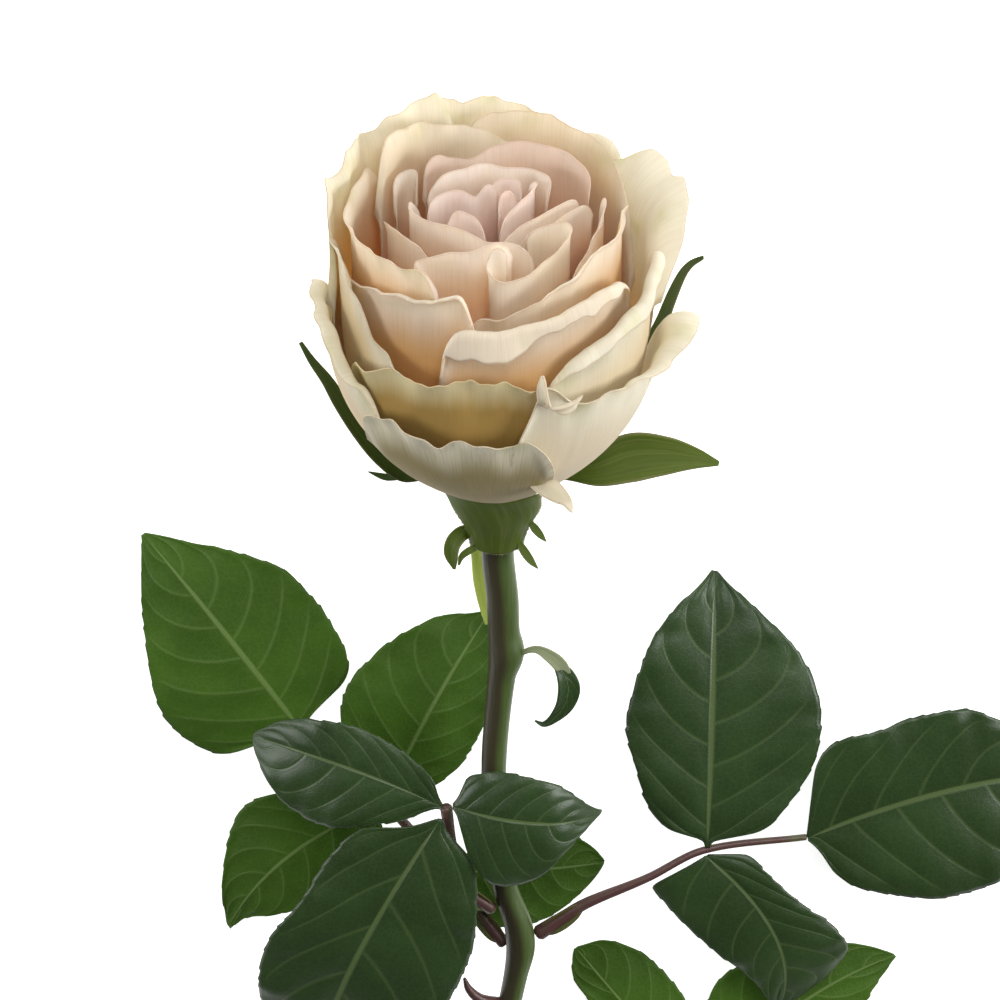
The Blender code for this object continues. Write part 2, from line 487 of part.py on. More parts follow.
def line_through_space(stations):
    """As line_through, for stations of x, y, z and one more value."""
    spots = [Vector(s) for s in stations]
    run = [0.0]
    for a, b in zip(spots, spots[1:]):
        run.append(run[-1] + (b.xyz - a.xyz).length)
    return (*line_with(spots, run), run[-1])


def strip(name, stations, face, bend, finish, group, to_world, columns=5):
    """A leaf-like strip along stations of x, y, z and half width, bent round across its width."""
    at, _, _ = line_through_space(stations)
    rows = []
    count = 2 * (len(stations) - 1)
    for k in range(count + 1):
        v = -1 + 2 * k / count
        spot = at(v)
        ahead = (at(min(1, v + 0.05)) - at(max(-1, v - 0.05))).xyz.normalized()
        side = ahead.cross(Vector(face)).normalized()
        inward = side.cross(ahead)
        row = []
        for c in range(columns):
            angle = (2 * c / (columns - 1) - 1) * spot[3] / bend
            point = spot.xyz + side * (bend * math.sin(angle)) + inward * (bend * (1 - math.cos(angle)))
            row.append(to_world(*point))
        rows.append(row)
    return sheet(name, rows, SEPAL_THICK, finish, group)


def hip_radius(z):
    """Radius of the hip at this height under the petals."""
    wall = HIP_PROFILE[2:8]
    for (r1, z1), (r2, z2) in zip(wall, wall[1:]):
        if z1 >= z >= z2:
            return r1 + (r2 - r1) * (z1 - z) / (z1 - z2)
    return wall[0][0] if z > wall[0][1] else wall[-1][0]


def apron(finish, group):
    """The front sepal, folded down over the hip."""
    grid = []
    for left, right, z in APRON:
        row = []
        for c in range(7):
            angle = math.radians(left + (right - left) * c / 6)
            r = hip_radius(z) + APRON_CLEARANCE + 0.9 * max(0.0, z + 1.0)
            row.append(bloom_point(r * math.cos(angle), r * math.sin(angle), z))
        grid.append(row)
    sheet("sepal_front", grid, SEPAL_THICK, finish, group)


def hip(finish, group):
    """The hip, turned about the bloom's axis."""
    mesh = bpy.data.meshes.new("hip")
    mesh.from_pydata(
        [(r * MM, 0.0, z * MM) for r, z in HIP_PROFILE],
        [(i, i + 1) for i in range(len(HIP_PROFILE) - 1)],
        [],
    )
    mesh.materials.append(finish)
    obj = bpy.data.objects.new("hip", mesh)
    turn = obj.modifiers.new("turned", "SCREW")
    turn.axis = "Z"
    turn.steps = 24
    turn.render_steps = 24
    turn.use_merge_vertices = True
    turn.merge_threshold = 0.0001
    turn.use_smooth_shade = True
    frame = Matrix((ACROSS, -UNDER, ALONG)).transposed().to_4x4()
    frame.translation = placed(FOOT)
    obj.matrix_world = frame
    group.objects.link(obj)


def join_into(body, other, group):
    """The other object joined to the body with a Boolean union."""
    cut = body.modifiers.new("with " + other.name, "BOOLEAN")
    cut.operation = "UNION"
    cut.solver = "EXACT"
    cut.object = other
    other.display_type = "WIRE"
    other.hide_render = True


def stem(finish, group, helpers):
    """The stem with its side bud and prickles."""
    body = tube("stem", STEM, finish, group, sides=10, step=5.0)
    bud = tube("bud", BUD, finish, helpers, sides=6, step=2.0)
    join_into(body, bud, helpers)
    at = line_through_space(STEM)[0]
    for number, (y, side, length) in enumerate(PRICKLES):
        v = -1.0
        while v < 1 and at(v).y > y:
            v += 0.002
        spot = at(v)
        out = Vector((math.cos(math.radians(side)), 0.0, math.sin(math.radians(side))))
        foot = spot.xyz + out * (spot[3] - 1.4)
        tip = spot.xyz + out * (spot[3] + length) + Vector((0.0, -1.6, 0.0))
        middle = foot.lerp(tip, 0.45) + Vector((0.0, 0.5, 0.0))
        thorn = tube(
            "prickle_%d" % number,
            ((*foot, 1.5), (*middle, 0.8), (*tip, 0.12)), finish, helpers, sides=6, step=1.8)
        join_into(body, thorn, helpers)


def leaflets(finish, group):
    for name, foot, tip, rise, fold, droop, curl, roll, sweep, left, right in LEAFLETS:
        start, end = Vector(foot), Vector(tip)
        ahead = (end - start).normalized()
        side = Vector((0.0, 0.0, 1.0)).cross(ahead).normalized()
        side = Matrix.Rotation(math.radians(roll), 3, ahead) @ side
        up = ahead.cross(side)
        widest = max(*left, *right)
        grid = []
        for t, half_left, half_right in zip(OUTLINE_AT, left, right):
            row = []
            for u in (-1, -0.5, 0, 0.5, 1):
                out = abs(u) * (half_left if u > 0 else half_right)
                lift = 4 * rise * t * (1 - t) - curl * max(0.0, (t - 0.6) / 0.4) ** 2
                lift += fold * out - droop * (out / widest) ** 2
                across = math.copysign(out, u) + 4 * sweep * t * (1 - t)
                row.append(start.lerp(end, t) + side * across + up * lift)
            grid.append(row)
        sheet(name, grid, LEAF_THICK, finish, group)


if __name__ == "__main__":
    clear_scene()
    rose = collection("cut_rose")
    helpers = collection("joined_on", hidden=True)
    finishes = {
        "outer": material("petal_ivory", (0.83, 0.80, 0.58), 0.55),
        "middle": material("petal_cream", (0.86, 0.74, 0.56), 0.55),
        "inner": material("petal_blush", (0.85, 0.62, 0.48), 0.55),
        "heart": material("petal_pink", (0.80, 0.50, 0.40), 0.55),
    }
    sepal_green = material("sepal_green", (0.10, 0.20, 0.05), 0.6)
    leaf_green = material("leaf_green", (0.03, 0.09, 0.025), 0.35)
    stem_green = material("stem_green", (0.13, 0.16, 0.06), 0.5)
    stalk_brown = material("stalk_brown", (0.12, 0.06, 0.05), 0.5)
    petals(finishes, rose)
    hip(stem_green, rose)
    for name, face, bend, stations in SEPALS:
        strip(name, stations, face, bend, sepal_green, rose, bloom_point)
    apron(sepal_green, rose)
    strip("bract", BRACT, (0.0, 0.2, 1.0), 8.0, leaf_green, rose, lambda *p: Vector(p))
    stem(stem_green, rose, helpers)
    for name, stations in STALKS:
        tube(name, stations, stalk_brown, rose, sides=8, step=6.0)
    leaflets(leaf_green, rose)
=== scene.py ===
"""Looks of a cut rose lying on a pale floor: petals, hip, sepals, stem, stalks and leaflets.

World frame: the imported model's. The rose lies on z = 0 along Y, bloom towards +Y.
Bloom frame: x is world X, z runs up the bloom's own axis, and y is its underside as it lies.
Lengths in the tables are millimetres, angles are degrees."""

import math

import bpy
import numpy as np
from mathutils import Matrix, Vector


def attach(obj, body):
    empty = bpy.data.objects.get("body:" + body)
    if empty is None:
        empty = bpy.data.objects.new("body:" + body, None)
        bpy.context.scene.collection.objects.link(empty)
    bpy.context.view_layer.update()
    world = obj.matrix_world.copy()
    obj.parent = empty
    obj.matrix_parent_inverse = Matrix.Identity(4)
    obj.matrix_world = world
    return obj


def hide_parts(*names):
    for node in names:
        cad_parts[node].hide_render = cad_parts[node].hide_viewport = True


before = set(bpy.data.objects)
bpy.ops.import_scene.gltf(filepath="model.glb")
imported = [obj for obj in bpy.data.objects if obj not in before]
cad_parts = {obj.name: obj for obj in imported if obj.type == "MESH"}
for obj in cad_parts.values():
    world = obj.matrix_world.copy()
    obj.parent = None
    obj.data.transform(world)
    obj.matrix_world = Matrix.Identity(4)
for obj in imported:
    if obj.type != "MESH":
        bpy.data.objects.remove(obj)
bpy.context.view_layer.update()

bl_info = {
    "name": "Cut rose",
    "version": (1, 0, 0),
    "blender": (4, 5, 0),
    "location": "View3D > Sidebar > Rose",
    "description": "Builds the petals, leaves and stem of one cut rose around its packed frame",
    "category": "Object",
}

MM = 0.001

# Where the rose lies, as in the frame. Points outside the bloom are measured from PLACE.
PLACE = np.array((-26.2, 127.2, 0.0))
PETAL_FOOT_HEIGHT = 25.9
BLOOM_LIFT = math.radians(10.0)
ACROSS = np.array((1.0, 0.0, 0.0))
UNDER = np.array((0.0, math.sin(BLOOM_LIFT), -math.cos(BLOOM_LIFT)))
ALONG = np.array((0.0, math.cos(BLOOM_LIFT), math.sin(BLOOM_LIFT)))
FOOT = np.array((0.0, 0.0, PETAL_FOOT_HEIGHT))

# The bloom as a whole
FOOT_SHARE = 0.24  # share of its full distance from the axis that a petal has at its foot
SHOULDER_HEIGHT = 44.0
SHOULDER_ROUND = 2.8
DOME_RISE = 6.0  # the petals stand on a dome of this height and radius
DOME_RADIUS = 33.0
SEAT_GAP = 0.3
CLAW_WIDTH = 3.2  # width of a petal's foot, or claw
RUFFLE_LENGTH = 12.0  # longest wave of a rim
LIP_TURN = 4.0  # length within which a rolled lip turns
LONG_LIP = 2.5  # a rim with a lip of this length has no bend of its own

# By finish: how the rims bend outwards, how far the corners of a petal are rounded, and the share
# of its height by which it has its full width
RIM_BEND = {"outer": 1.2, "middle": 1.0, "inner": 0.55, "heart": 0.35}
CORNER = {"outer": 8.0, "middle": 6.0, "inner": 3.0, "heart": 1.8}
SPREAD_BY = {"outer": 0.42, "middle": 0.6, "inner": 0.6, "heart": 0.6}

# Fineness of the meshes, and their margins
PETAL_STEP = 0.6  # spacing of a petal's columns at its rim
PETAL_ROWS = 44
THIN_RIM = 0.55  # thickness at a margin, as a share of the leaf's own
LEAF_STEP = 0.55
LEAF_COLUMNS = 45
TOOTH_PITCH = 3.6  # spacing of the teeth of a leaflet's margin
TOOTH_SHIFT = 1.3  # how far the teeth of one side are ahead of the other's
TOOTH = 0.3
STRIP_ROWS, STRIP_COLUMNS = 61, 15
APRON_ROWS, APRON_COLUMNS = 41, 33
HIP_SIDES = 64
# Warmth given to strips; only the curled petal corners show it, in part as painted warm bounce
# light
STRIP_WARMTH = 0.3

# What is added to a petal's or a leaflet's number for each of its random waves
BEND_SEED, SWAY_SEED, REACH_SEED, TURN_SEED = 30, 50, 9, 19
MARGIN_SEED, TOOTH_SEED, WAVE_SEED = 300, 350, 200


def heading(degrees):
    """The cosine and sine of an angle."""
    return math.cos(math.radians(degrees)), math.sin(math.radians(degrees))


def ring(*stations):
    """Rim stations given as azimuth, radius, height and, on some petals, lip length."""
    made = []
    for azimuth, radius, height, *lip in stations:
        x, y = heading(azimuth)
        made.append((radius * x, radius * y, height, *(lip or [0.0])))
    return made


def plan(*stations):
    """Rim stations given as x, y and height, with no lip."""
    return [(x, y, z, 0.0) for x, y, z in stations]


# node, finish, claw position, roll of the lip, ruffle of the rim (height, sideways), rim stations
PETALS = [
    ("petal_front_guard", "outer", 0.15, 0, (0.8, 0.8), ring((214, 33.4, 29), (222, 33.3, 32),
        (232, 33, 33), (243, 32.8, 31), (255, 32.6, 30), (264, 32.5, 33), (272, 32.4, 30),
        (281, 32.3, 31), (287, 32.2, 30), (292, 32.1, 26))),
    ("petal_front", "outer", -0.2, 0, (0.7, 0.7), ring((200, 30.9, 32), (205, 30.9, 36),
        (210, 30.9, 39), (218, 31, 41), (228, 30.6, 42), (240, 30.2, 42.5), (252, 29.8, 43),
        (264, 29.4, 44), (275, 29.2, 43.5), (285, 29.1, 42), (289, 29, 38.5), (292, 29, 34))),
    ("petal_right_lip", "outer", 0.1, 100, (0.15, 0.3), ring((275, 30.7, 31, 0.4),
        (281, 30.7, 36.5, 0.5), (286, 30.8, 41.5, 1.2), (290, 30.8, 41, 1.6), (294, 30.8, 39, 1.4),
        (298, 30.7, 37.5, 1), (303, 30.8, 37, 0.5), (315, 31, 36.5, 0.8), (326, 31.3, 35, 2.5),
        (337, 31.6, 33, 5), (347, 31.9, 33, 9), (356, 32.1, 34, 10.5), (5, 32.2, 34, 9),
        (14, 32.2, 32, 4))),
    ("petal_right_rolled", "outer", -0.1, 150, (0.15, 0.2), ring((287, 27.9, 41.5, 1.2),
        (295, 27.9, 43, 3.5), (304, 28, 44.5, 5), (314, 28.2, 46, 5), (325, 28.6, 47.5, 5),
        (338, 29.2, 49.5, 5), (350, 29.6, 52, 4.5), (0, 29.6, 54, 3.5), (6, 29.3, 53, 2))),
    ("petal_right_flared", "outer", 0, 75, (0.3, 0.3), ring((8, 30.7, 43, 9), (15, 30.6, 45, 14),
        (24, 30.5, 47.5, 17.5), (32, 30.4, 50, 16.5), (39, 30.3, 53, 12), (45, 30.2, 56, 7),
        (50, 30.2, 56.5, 3), (56, 30.2, 54, 0.5))),
    ("petal_back_sliver", "outer", 0.2, 60, (0.3, 0.3), ring((42, 33.4, 56, 1), (46, 33.4, 60, 2),
        (52, 33.4, 61.5, 2.5), (59, 33.4, 61.5, 2), (67, 33.6, 60, 1.2), (75, 33.6, 55, 0.6))),
    ("petal_back", "outer", 0.1, 0, (0.5, 0.4), ring((62, 32, 57), (69, 32.1, 64),
        (79, 32.2, 67.5), (91, 32.3, 69), (103, 32.4, 69.5), (115, 32.6, 69), (126, 32.8, 64))),
    ("petal_left_guard", "outer", -0.3, 0, (0.8, 0.8), ring((104, 30.4, 64), (108, 30.6, 71.5),
        (117, 30.8, 72), (127, 31, 70.5), (138, 31.1, 69), (149, 31.2, 69), (160, 31.4, 67),
        (170, 31.6, 65), (179, 31.8, 60), (186, 32, 52))),
    ("petal_left", "outer", 0.1, 0, (0.4, 0.5), ring((168, 29.9, 50), (178, 30.1, 57),
        (190, 30.1, 58), (201, 29.9, 57), (209, 29.6, 54.5), (216, 29.5, 49.5), (224, 29.3, 45),
        (233, 29.1, 43), (242, 28.4, 41))),
    ("petal_left_low", "outer", 0, 90, (0.5, 0.4), ring((160, 33.2, 38, 0.4), (170, 33.3, 42, 2.2),
        (182, 33.3, 44.5, 4.5), (193, 33.1, 43, 5), (203, 32.8, 40.5, 6), (211, 32.4, 36, 5.5),
        (219, 32, 34, 3), (226, 31.9, 32, 0.6))),
    ("petal_back_right", "middle", 0.2, 0, (0.3, 0.3), ring((22, 28, 46), (29, 28.2, 57),
        (36, 28.3, 62), (45, 28.4, 65), (55, 28.5, 67), (67, 28.5, 68), (82, 28.5, 69),
        (97, 28.5, 66.5), (110, 28.5, 61))),
    ("petal_back_inner", "middle", -0.2, 0, (0.3, 0.3), ring((72, 25, 55), (80, 25.2, 62),
        (88, 25.3, 64), (99, 25.4, 66.5), (113, 25.5, 68.5), (127, 25.6, 70), (139, 25.6, 70.5),
        (148, 25.3, 69), (155, 24.8, 61))),
    ("petal_left_middle", "middle", 0.2, 0, (0.3, 0.3), ring((140, 27.5, 59), (147, 27.7, 63.5),
        (157, 27.9, 64.5), (168, 28, 63), (180, 27.8, 61.5), (192, 27.2, 62), (204, 26.5, 62.5),
        (216, 25.8, 62.5), (227, 25.1, 62.5), (237, 24.4, 62), (244, 23.8, 59))),
    ("petal_front_left", "middle", -0.1, 120, (0.3, 0.2), ring((185, 28.9, 49, 0.5),
        (197, 28.5, 53, 0.6), (210, 27.8, 54.5, 0.8), (222, 27.1, 56, 1.2), (233, 26.6, 56.5, 1.8),
        (243, 26, 56.5, 2.2), (251, 25.5, 58, 2.6), (256, 25.3, 58, 2.2), (260, 25.4, 55.5, 1.2),
        (264, 25.5, 51, 0.5))),
    ("petal_front_rolled", "middle", 0.1, 165, (0.2, 0.2), ring((248, 27.9, 46, 0.8),
        (251, 28.1, 50, 4.5), (255, 28.1, 52, 8), (261, 27.9, 52.2, 9), (268, 27.6, 52, 8.5),
        (279, 27, 52.5, 6.5), (291, 26.5, 53, 5), (303, 26.1, 54, 5), (315, 25.9, 54.5, 5),
        (327, 25.7, 54, 4.5), (337, 25.7, 52, 3), (345, 25.8, 49, 1.5))),
    ("petal_right_middle", "middle", -0.15, 90, (0.3, 0.2), ring((255, 22.4, 51, 0.5),
        (262, 22.5, 54, 0.6), (270, 22.5, 53, 0.6), (281, 22.5, 54.5, 0.8), (293, 22.5, 56.5, 1.2),
        (305, 22.6, 58.5, 1.6), (317, 22.7, 60.5, 1.6), (330, 22.9, 62, 1.2),
        (343, 23.2, 62.5, 0.8), (356, 23.6, 63, 0.6), (9, 24.2, 62, 0.5), (20, 24.6, 58, 0.5))),
    ("petal_blush_front", "inner", 0.2, 0, (0.12, 0.15), plan((-11, -17.4, 56.5),
        (-13.6, -16.8, 59), (-15.6, -14.6, 60), (-15, -12.4, 60), (-12.2, -13, 61),
        (-8.5, -14.8, 63), (-4, -15.8, 64.5), (0, -15.6, 65.5), (3, -14.5, 64))),
    ("petal_curled_tip", "inner", 0, 0, (0.1, 0.1), plan((2, -17.6, 66), (-0.4, -17.8, 65),
        (-1.4, -19, 62), (0.6, -20, 60), (4.5, -18.8, 60), (9, -15, 61.5), (12.4, -11, 63),
        (13.8, -8.2, 64), (12.6, -6.2, 64), (9, -6.2, 63), (5.6, -7.2, 62))),
    ("petal_blush_left", "inner", 0.1, 0, (0.12, 0.15), plan((-14.6, 6.4, 60), (-16.4, 6.2, 61.5),
        (-16.6, 3.6, 61.5), (-13.2, 0.2, 61.5), (-8, -4.2, 62), (-2.5, -8, 62), (3, -10.8, 62.5),
        (7.2, -12.2, 61))),
    ("petal_left_inner", "inner", 0, 0, (0.12, 0.15), plan((-20.8, 6.4, 56), (-20.8, 3, 59),
        (-19.6, -0.6, 60), (-17.6, -4, 60), (-14.6, -7.2, 60), (-11.6, -10, 58.5))),
    ("petal_heart_front", "heart", 0, 0, (0.12, 0.15), plan((-10, 0.4, 60), (-7.8, 1.6, 62),
        (-5.2, 0.6, 62), (-3.2, -1.6, 61.5), (-1.8, -3.8, 60))),
    ("petal_heart_back", "heart", 0, 0, (0.12, 0.15), plan((0.2, 8.8, 62.5), (-1.6, 8.8, 63.5),
        (-4, 7, 62), (-7.5, 8.4, 62.5), (-11.2, 7, 62), (-13.2, 4, 61))),
    ("petal_blush_back", "inner", 0, 0, (0.12, 0.15), plan((9.2, 7.4, 61), (9.4, 10.2, 64),
        (6.6, 13, 64.5), (1, 13.8, 64.5), (-2.4, 14, 65), (-6.2, 13.2, 64.5), (-10.4, 11.4, 64),
        (-13.2, 9.4, 62))),
    ("petal_heart_diagonal", "heart", 0, 0, (0.12, 0.15), plan((0.4, -3, 60.5), (1.4, -0.4, 62),
        (4, 2.8, 63), (6.3, 6, 64), (7.2, 8.8, 64), (6, 10.8, 63))),
    ("petal_heart_tip", "heart", 0, 0, (0.1, 0.1), plan((0.2, 2.4, 61), (0.6, 4.8, 63.5),
        (2.4, 6, 64), (4, 5.6, 62.5))),
    ("petal_heart_ring", "heart", 0, 0, (0.1, 0.1), plan((4.6, 8.2, 62), (4.2, 10.2, 63.5),
        (1.8, 11.2, 63.5), (-1.2, 11, 62.5))),
    ("petal_diagonal", "inner", 0, 0, (0.12, 0.15), plan((0.2, -5.8, 60.5), (3.8, -3.8, 61.5),
        (8.2, 0, 62.5), (12.6, 3.8, 63), (15.6, 6.8, 62.5))),
    ("petal_diagonal_outer", "inner", 0, 0, (0.12, 0.15), plan((3.8, -5.8, 60), (7.4, -3.8, 61.5),
        (11.4, -0.8, 62), (15, 2.2, 62.5), (18.2, 5.4, 61.5))),
    ("petal_right_inner", "inner", 0, 0, (0.12, 0.15), plan((13.4, -14.4, 56.5), (16.4, -10.2, 60),
        (18.6, -4.8, 61.5), (19.8, 0.4, 62.5), (20.4, 5.4, 62.5), (19.8, 9, 60))),
    ("petal_mauve_back", "inner", 0, 0, (0.12, 0.15), plan((17.4, 8.2, 60), (17.6, 10.8, 64),
        (15.2, 13.6, 66), (11, 16, 67.5), (5, 17.6, 68), (-0.6, 18, 66.5), (-4.8, 17.2, 64.5),
        (-8.8, 16.2, 65), (-11.4, 15.6, 66), (-13.4, 13.8, 65), (-13.6, 11.8, 61))),
    ("petal_left_curl", "inner", 0, 0, (0.1, 0.1), plan((-15.8, 11, 60), (-15.8, 13.8, 63.5),
        (-17.8, 13.8, 63.5), (-19.2, 11.8, 62.5), (-19.4, 9.4, 59))),
]

# Curled corners of petals in the bloom frame: name, node, the way it faces, radius it bends round
# across its width, then stations x, y, z and half width
CURLS = [
    ("guard_corner", "petal_front_guard", (0.5, -0.8, 0.3), 4, ((6.6, -20, 15.5, 2.4),
        (10.3, -25, 14.9, 2.6), (12.8, -29, 15, 1.9), (14.3, -32.4, 15.4, 0.3))),
    ("lip_scroll", "petal_right_lip", (-0.6, -0.8, 0.2), 1.3, ((10.2, -31.6, 38.6, 1),
        (9.3, -32.8, 41.2, 1.7), (8.7, -32.6, 44, 1.3), (8.5, -31.6, 46, 0.3))),
    ("lip_fold", "petal_right_lip", (0.2, -0.8, -0.5), 1.5, ((9.6, -31.4, 39.2, 1.2),
        (11.8, -32.7, 39.8, 2.1), (14.2, -32.2, 40.4, 1.9), (15.8, -30.8, 40.8, 0.8))),
]

# How much of its full warm tint a petal has, where that is less than all of it. The warm tint is
# partly the petal's own tone and partly painted warm light bounced between shaded petals.
WARMTH = {
    "petal_curled_tip": 0.45, "petal_left_curl": 0.7, "petal_right_lip": 0.0,
    "petal_right_rolled": 0.35, "petal_right_flared": 0.15, "petal_back_sliver": 0.1,
    "petal_back": 0.1, "petal_left_guard": 0.12, "petal_left_low": 0.35, "petal_left": 0.7,
    "petal_back_right": 0.2, "petal_back_inner": 0.2,
}

# Sepals in the bloom frame: node, direction its inner face looks, radius it bends round across
# its width, then stations x, y, z and half width
SEPALS = [
    ("sepal_left", (0.3, -0.8, 0.5), 6, ((-8.6, 1.6, -1.6, 1.6), (-13.5, 2.8, -0.2, 1.2),
        (-18.8, 2, 0, 1.2), (-23.2, 2.5, 3.9, 1.5), (-27, 3.7, 9, 1.7), (-31, 5.2, 15.4, 1.6),
        (-33.8, 6.4, 20.2, 1.2), (-36.6, 7.4, 24, 0.8), (-38.8, 8.2, 27.8, 0.4))),
    ("sepal_back_right", (-0.6, -0.5, 0.6), 6, ((7.7, 4.3, -2, 2), (13.2, 8.2, -0.4, 2.2),
        (20.4, 12, 5, 2.4), (27.2, 14, 16, 2.2), (32.2, 13.6, 27, 2), (34.6, 12, 36, 1.6),
        (36.4, 10.6, 42, 1.2), (38, 9.2, 45.4, 0.8), (40.2, 8, 47.6, 0.4))),
    ("sepal_right", (0, -0.8, 0.6), 14, ((8.6, 1.6, -1.4, 0.5), (13, 2.6, -0.1, 1.1),
        (20.4, 2.6, 1.4, 3.7), (27, 3.8, 3.2, 5), (34, 3.6, 3.8, 3.9), (39.6, 3, 3.6, 2.2),
        (44.4, 2.6, 2.6, 0.5))),
    ("sepal_hanging", (-0.2, 0.9, -0.3), 8, ((-4.6, 7.6, -1.6, 2.6), (-4.8, 8, -6, 2.6),
        (-4.2, 6.6, -13, 2.5), (-3.2, 5.4, -20, 2.3), (-2.8, 4.8, -28, 2.1), (-2.4, 4.6, -34, 1.4),
        (-2.2, 4.6, -39, 0.3))),
]
SEPAL_FINISH = {"sepal_left": "sepal_dark", "sepal_back_right": "sepal_dark",
                "sepal_hanging": "sepal_yellow"}
# Narrow lobes of the sepals' margins, and the curled tip of one: node, the way it faces, stations
SEPAL_LOBES = [
    ("sepal_front", (0.3, -0.8, 0.5), ((6.4, -4.3, -6.4, 0.4), (7.6, -5.2, -7.8, 0.85),
        (8.8, -5.7, -9.2, 0.65), (9.8, -6, -10.4, 0.12))),
    ("sepal_front", (0.3, -0.8, 0.5), ((4.2, -3.6, -11.8, 0.45), (5.4, -5, -13.4, 0.9),
        (6.8, -5.9, -15.2, 0.75), (8.2, -6.4, -16.8, 0.12))),
    ("sepal_front", (-0.5, -0.8, 0.3), ((-4.6, -1.8, -10.6, 1.1), (-7, -3, -10.6, 1.6),
        (-8.7, -3.9, -12.4, 1.8), (-9.1, -4.3, -15.2, 1.6), (-8.6, -4.4, -18.4, 0.3))),
    ("sepal_front", (-0.3, -0.9, 0.2), ((-4.4, -4.2, -13.2, 0.7), (-5.8, -4.9, -13.6, 0.75),
        (-7.1, -5.2, -14.7, 0.6), (-7.7, -5.2, -16.8, 0.2))),
    ("sepal_left", (0.3, -0.8, 0.5), ((-19.4, 2, -0.4, 0.5), (-22.4, 2.4, -0.5, 0.7),
        (-25.8, 2.8, 0.5, 0.12))),
]
LOBE_BEND = 4.0
# The front sepal, folded down over the hip: azimuth of each edge, height and radius
APRON = ((-156, -49, 4.4, 13.4), (-156, -39.5, 0.9, 11.4), (-156, -28, -3, 9.8),
    (-156, -24, -5.6, 8.6), (-156, -24, -8.4, 7.2), (-158, -24, -11.4, 6.2),
    (-162, -24, -13.7, 5.6))
DOWN_FROM = 22  # first row of the front sepal whose edge has down
DOWN_LENGTH = 0.55
# The hip's outline: radius and height
HIP_PROFILE = ((0, 5.4), (4, 2.6), (8, -0.4), (8.2, -1.4), (7.4, -4.6), (5.9, -9), (4.2, -12.6),
    (3.5, -15), (0, -15))

# Stem stations x, y, z and radius
STEM = ((0, -15.2, 23.2, 3.3), (0.3, -20, 22.5, 3.3), (1.1, -28, 21.7, 3.3), (1.4, -36, 21, 3.3),
    (1.9, -41, 20.6, 3.7), (0.9, -47, 20.2, 2.9), (-0.7, -69, 18.9, 2.6), (0.2, -88, 17.9, 2.5),
    (1.8, -99, 17.3, 2.6), (4.4, -108, 16.8, 3), (5, -114, 16.4, 3.1), (4, -121, 16, 2.6),
    (2.2, -132, 15.2, 2.5), (0.8, -146, 14.2, 2.9), (0.2, -152, 13.8, 2.6),
    (-1.5, -190, 11.4, 2.6), (-2.5, -235, 8.6, 2.7), (-1.5, -285, 5.6, 2.8), (0.5, -330, 3.3, 3))
# Prickles: y, angle round the stem, length
PRICKLES = ((-84, 200, 4), (-167, 20, 5), (-181, 150, 5.5), (-212, -10, 5.5), (-226, 170, 5),
    (-262, 30, 5.5))
PRICKLE_ROOT = 0.3  # how deep a prickle stands in the stem
# Side bud, as the stem
BUD = ((2.6, -129, 15.4, 1.4), (-3.4, -126.4, 17.6, 1.2), (-6, -123.4, 18.4, 0.9),
    (-7, -120.4, 18.8, 0.35))
# Leaf stalks: node, then stations as for the stem
STALKS = [
    ("stalk_front_left", ((-1.3, -103.5, 17.9, 1.4), (-6.6, -97, 20.6, 1.2),
        (-9.4, -85, 23.6, 1.1), (-10.6, -74.8, 25.4, 1.3))),
    ("stalk_back_left", ((1.4, -114.6, 13.7, 1.4), (-10.5, -100.4, 8.6, 1.2), (-24, -84.4, 5.8, 1),
        (-33.4, -74.6, 4.2, 0.9), (-41.2, -68.6, 3, 0.8))),
    ("stalk_right", ((9, -110.9, 15.7, 1.7), (13.5, -107.4, 15.8, 1.4), (19, -103.4, 16, 1.2),
        (31.8, -97.6, 15.4, 0.9), (44, -92, 13.2, 0.8), (65.6, -90.2, 10.8, 0.7))),
    ("stalk_lower_right", ((3.6, -152.2, 12.2, 1.6), (14, -158, 8, 1.2), (31.6, -157, 4.2, 1),
        (49.4, -159.4, 2.8, 0.9), (61, -162, 2, 0.8))),
]
STIPULE = (0.6, 1.9, 2.3, 2.2, 1.7, 0.5)  # half widths along the first part of a leaf's stalk
STIPULE_LENGTH = 12.0
STIPULE_LIFT = 0.3
STIPULE_BEND = 2.6

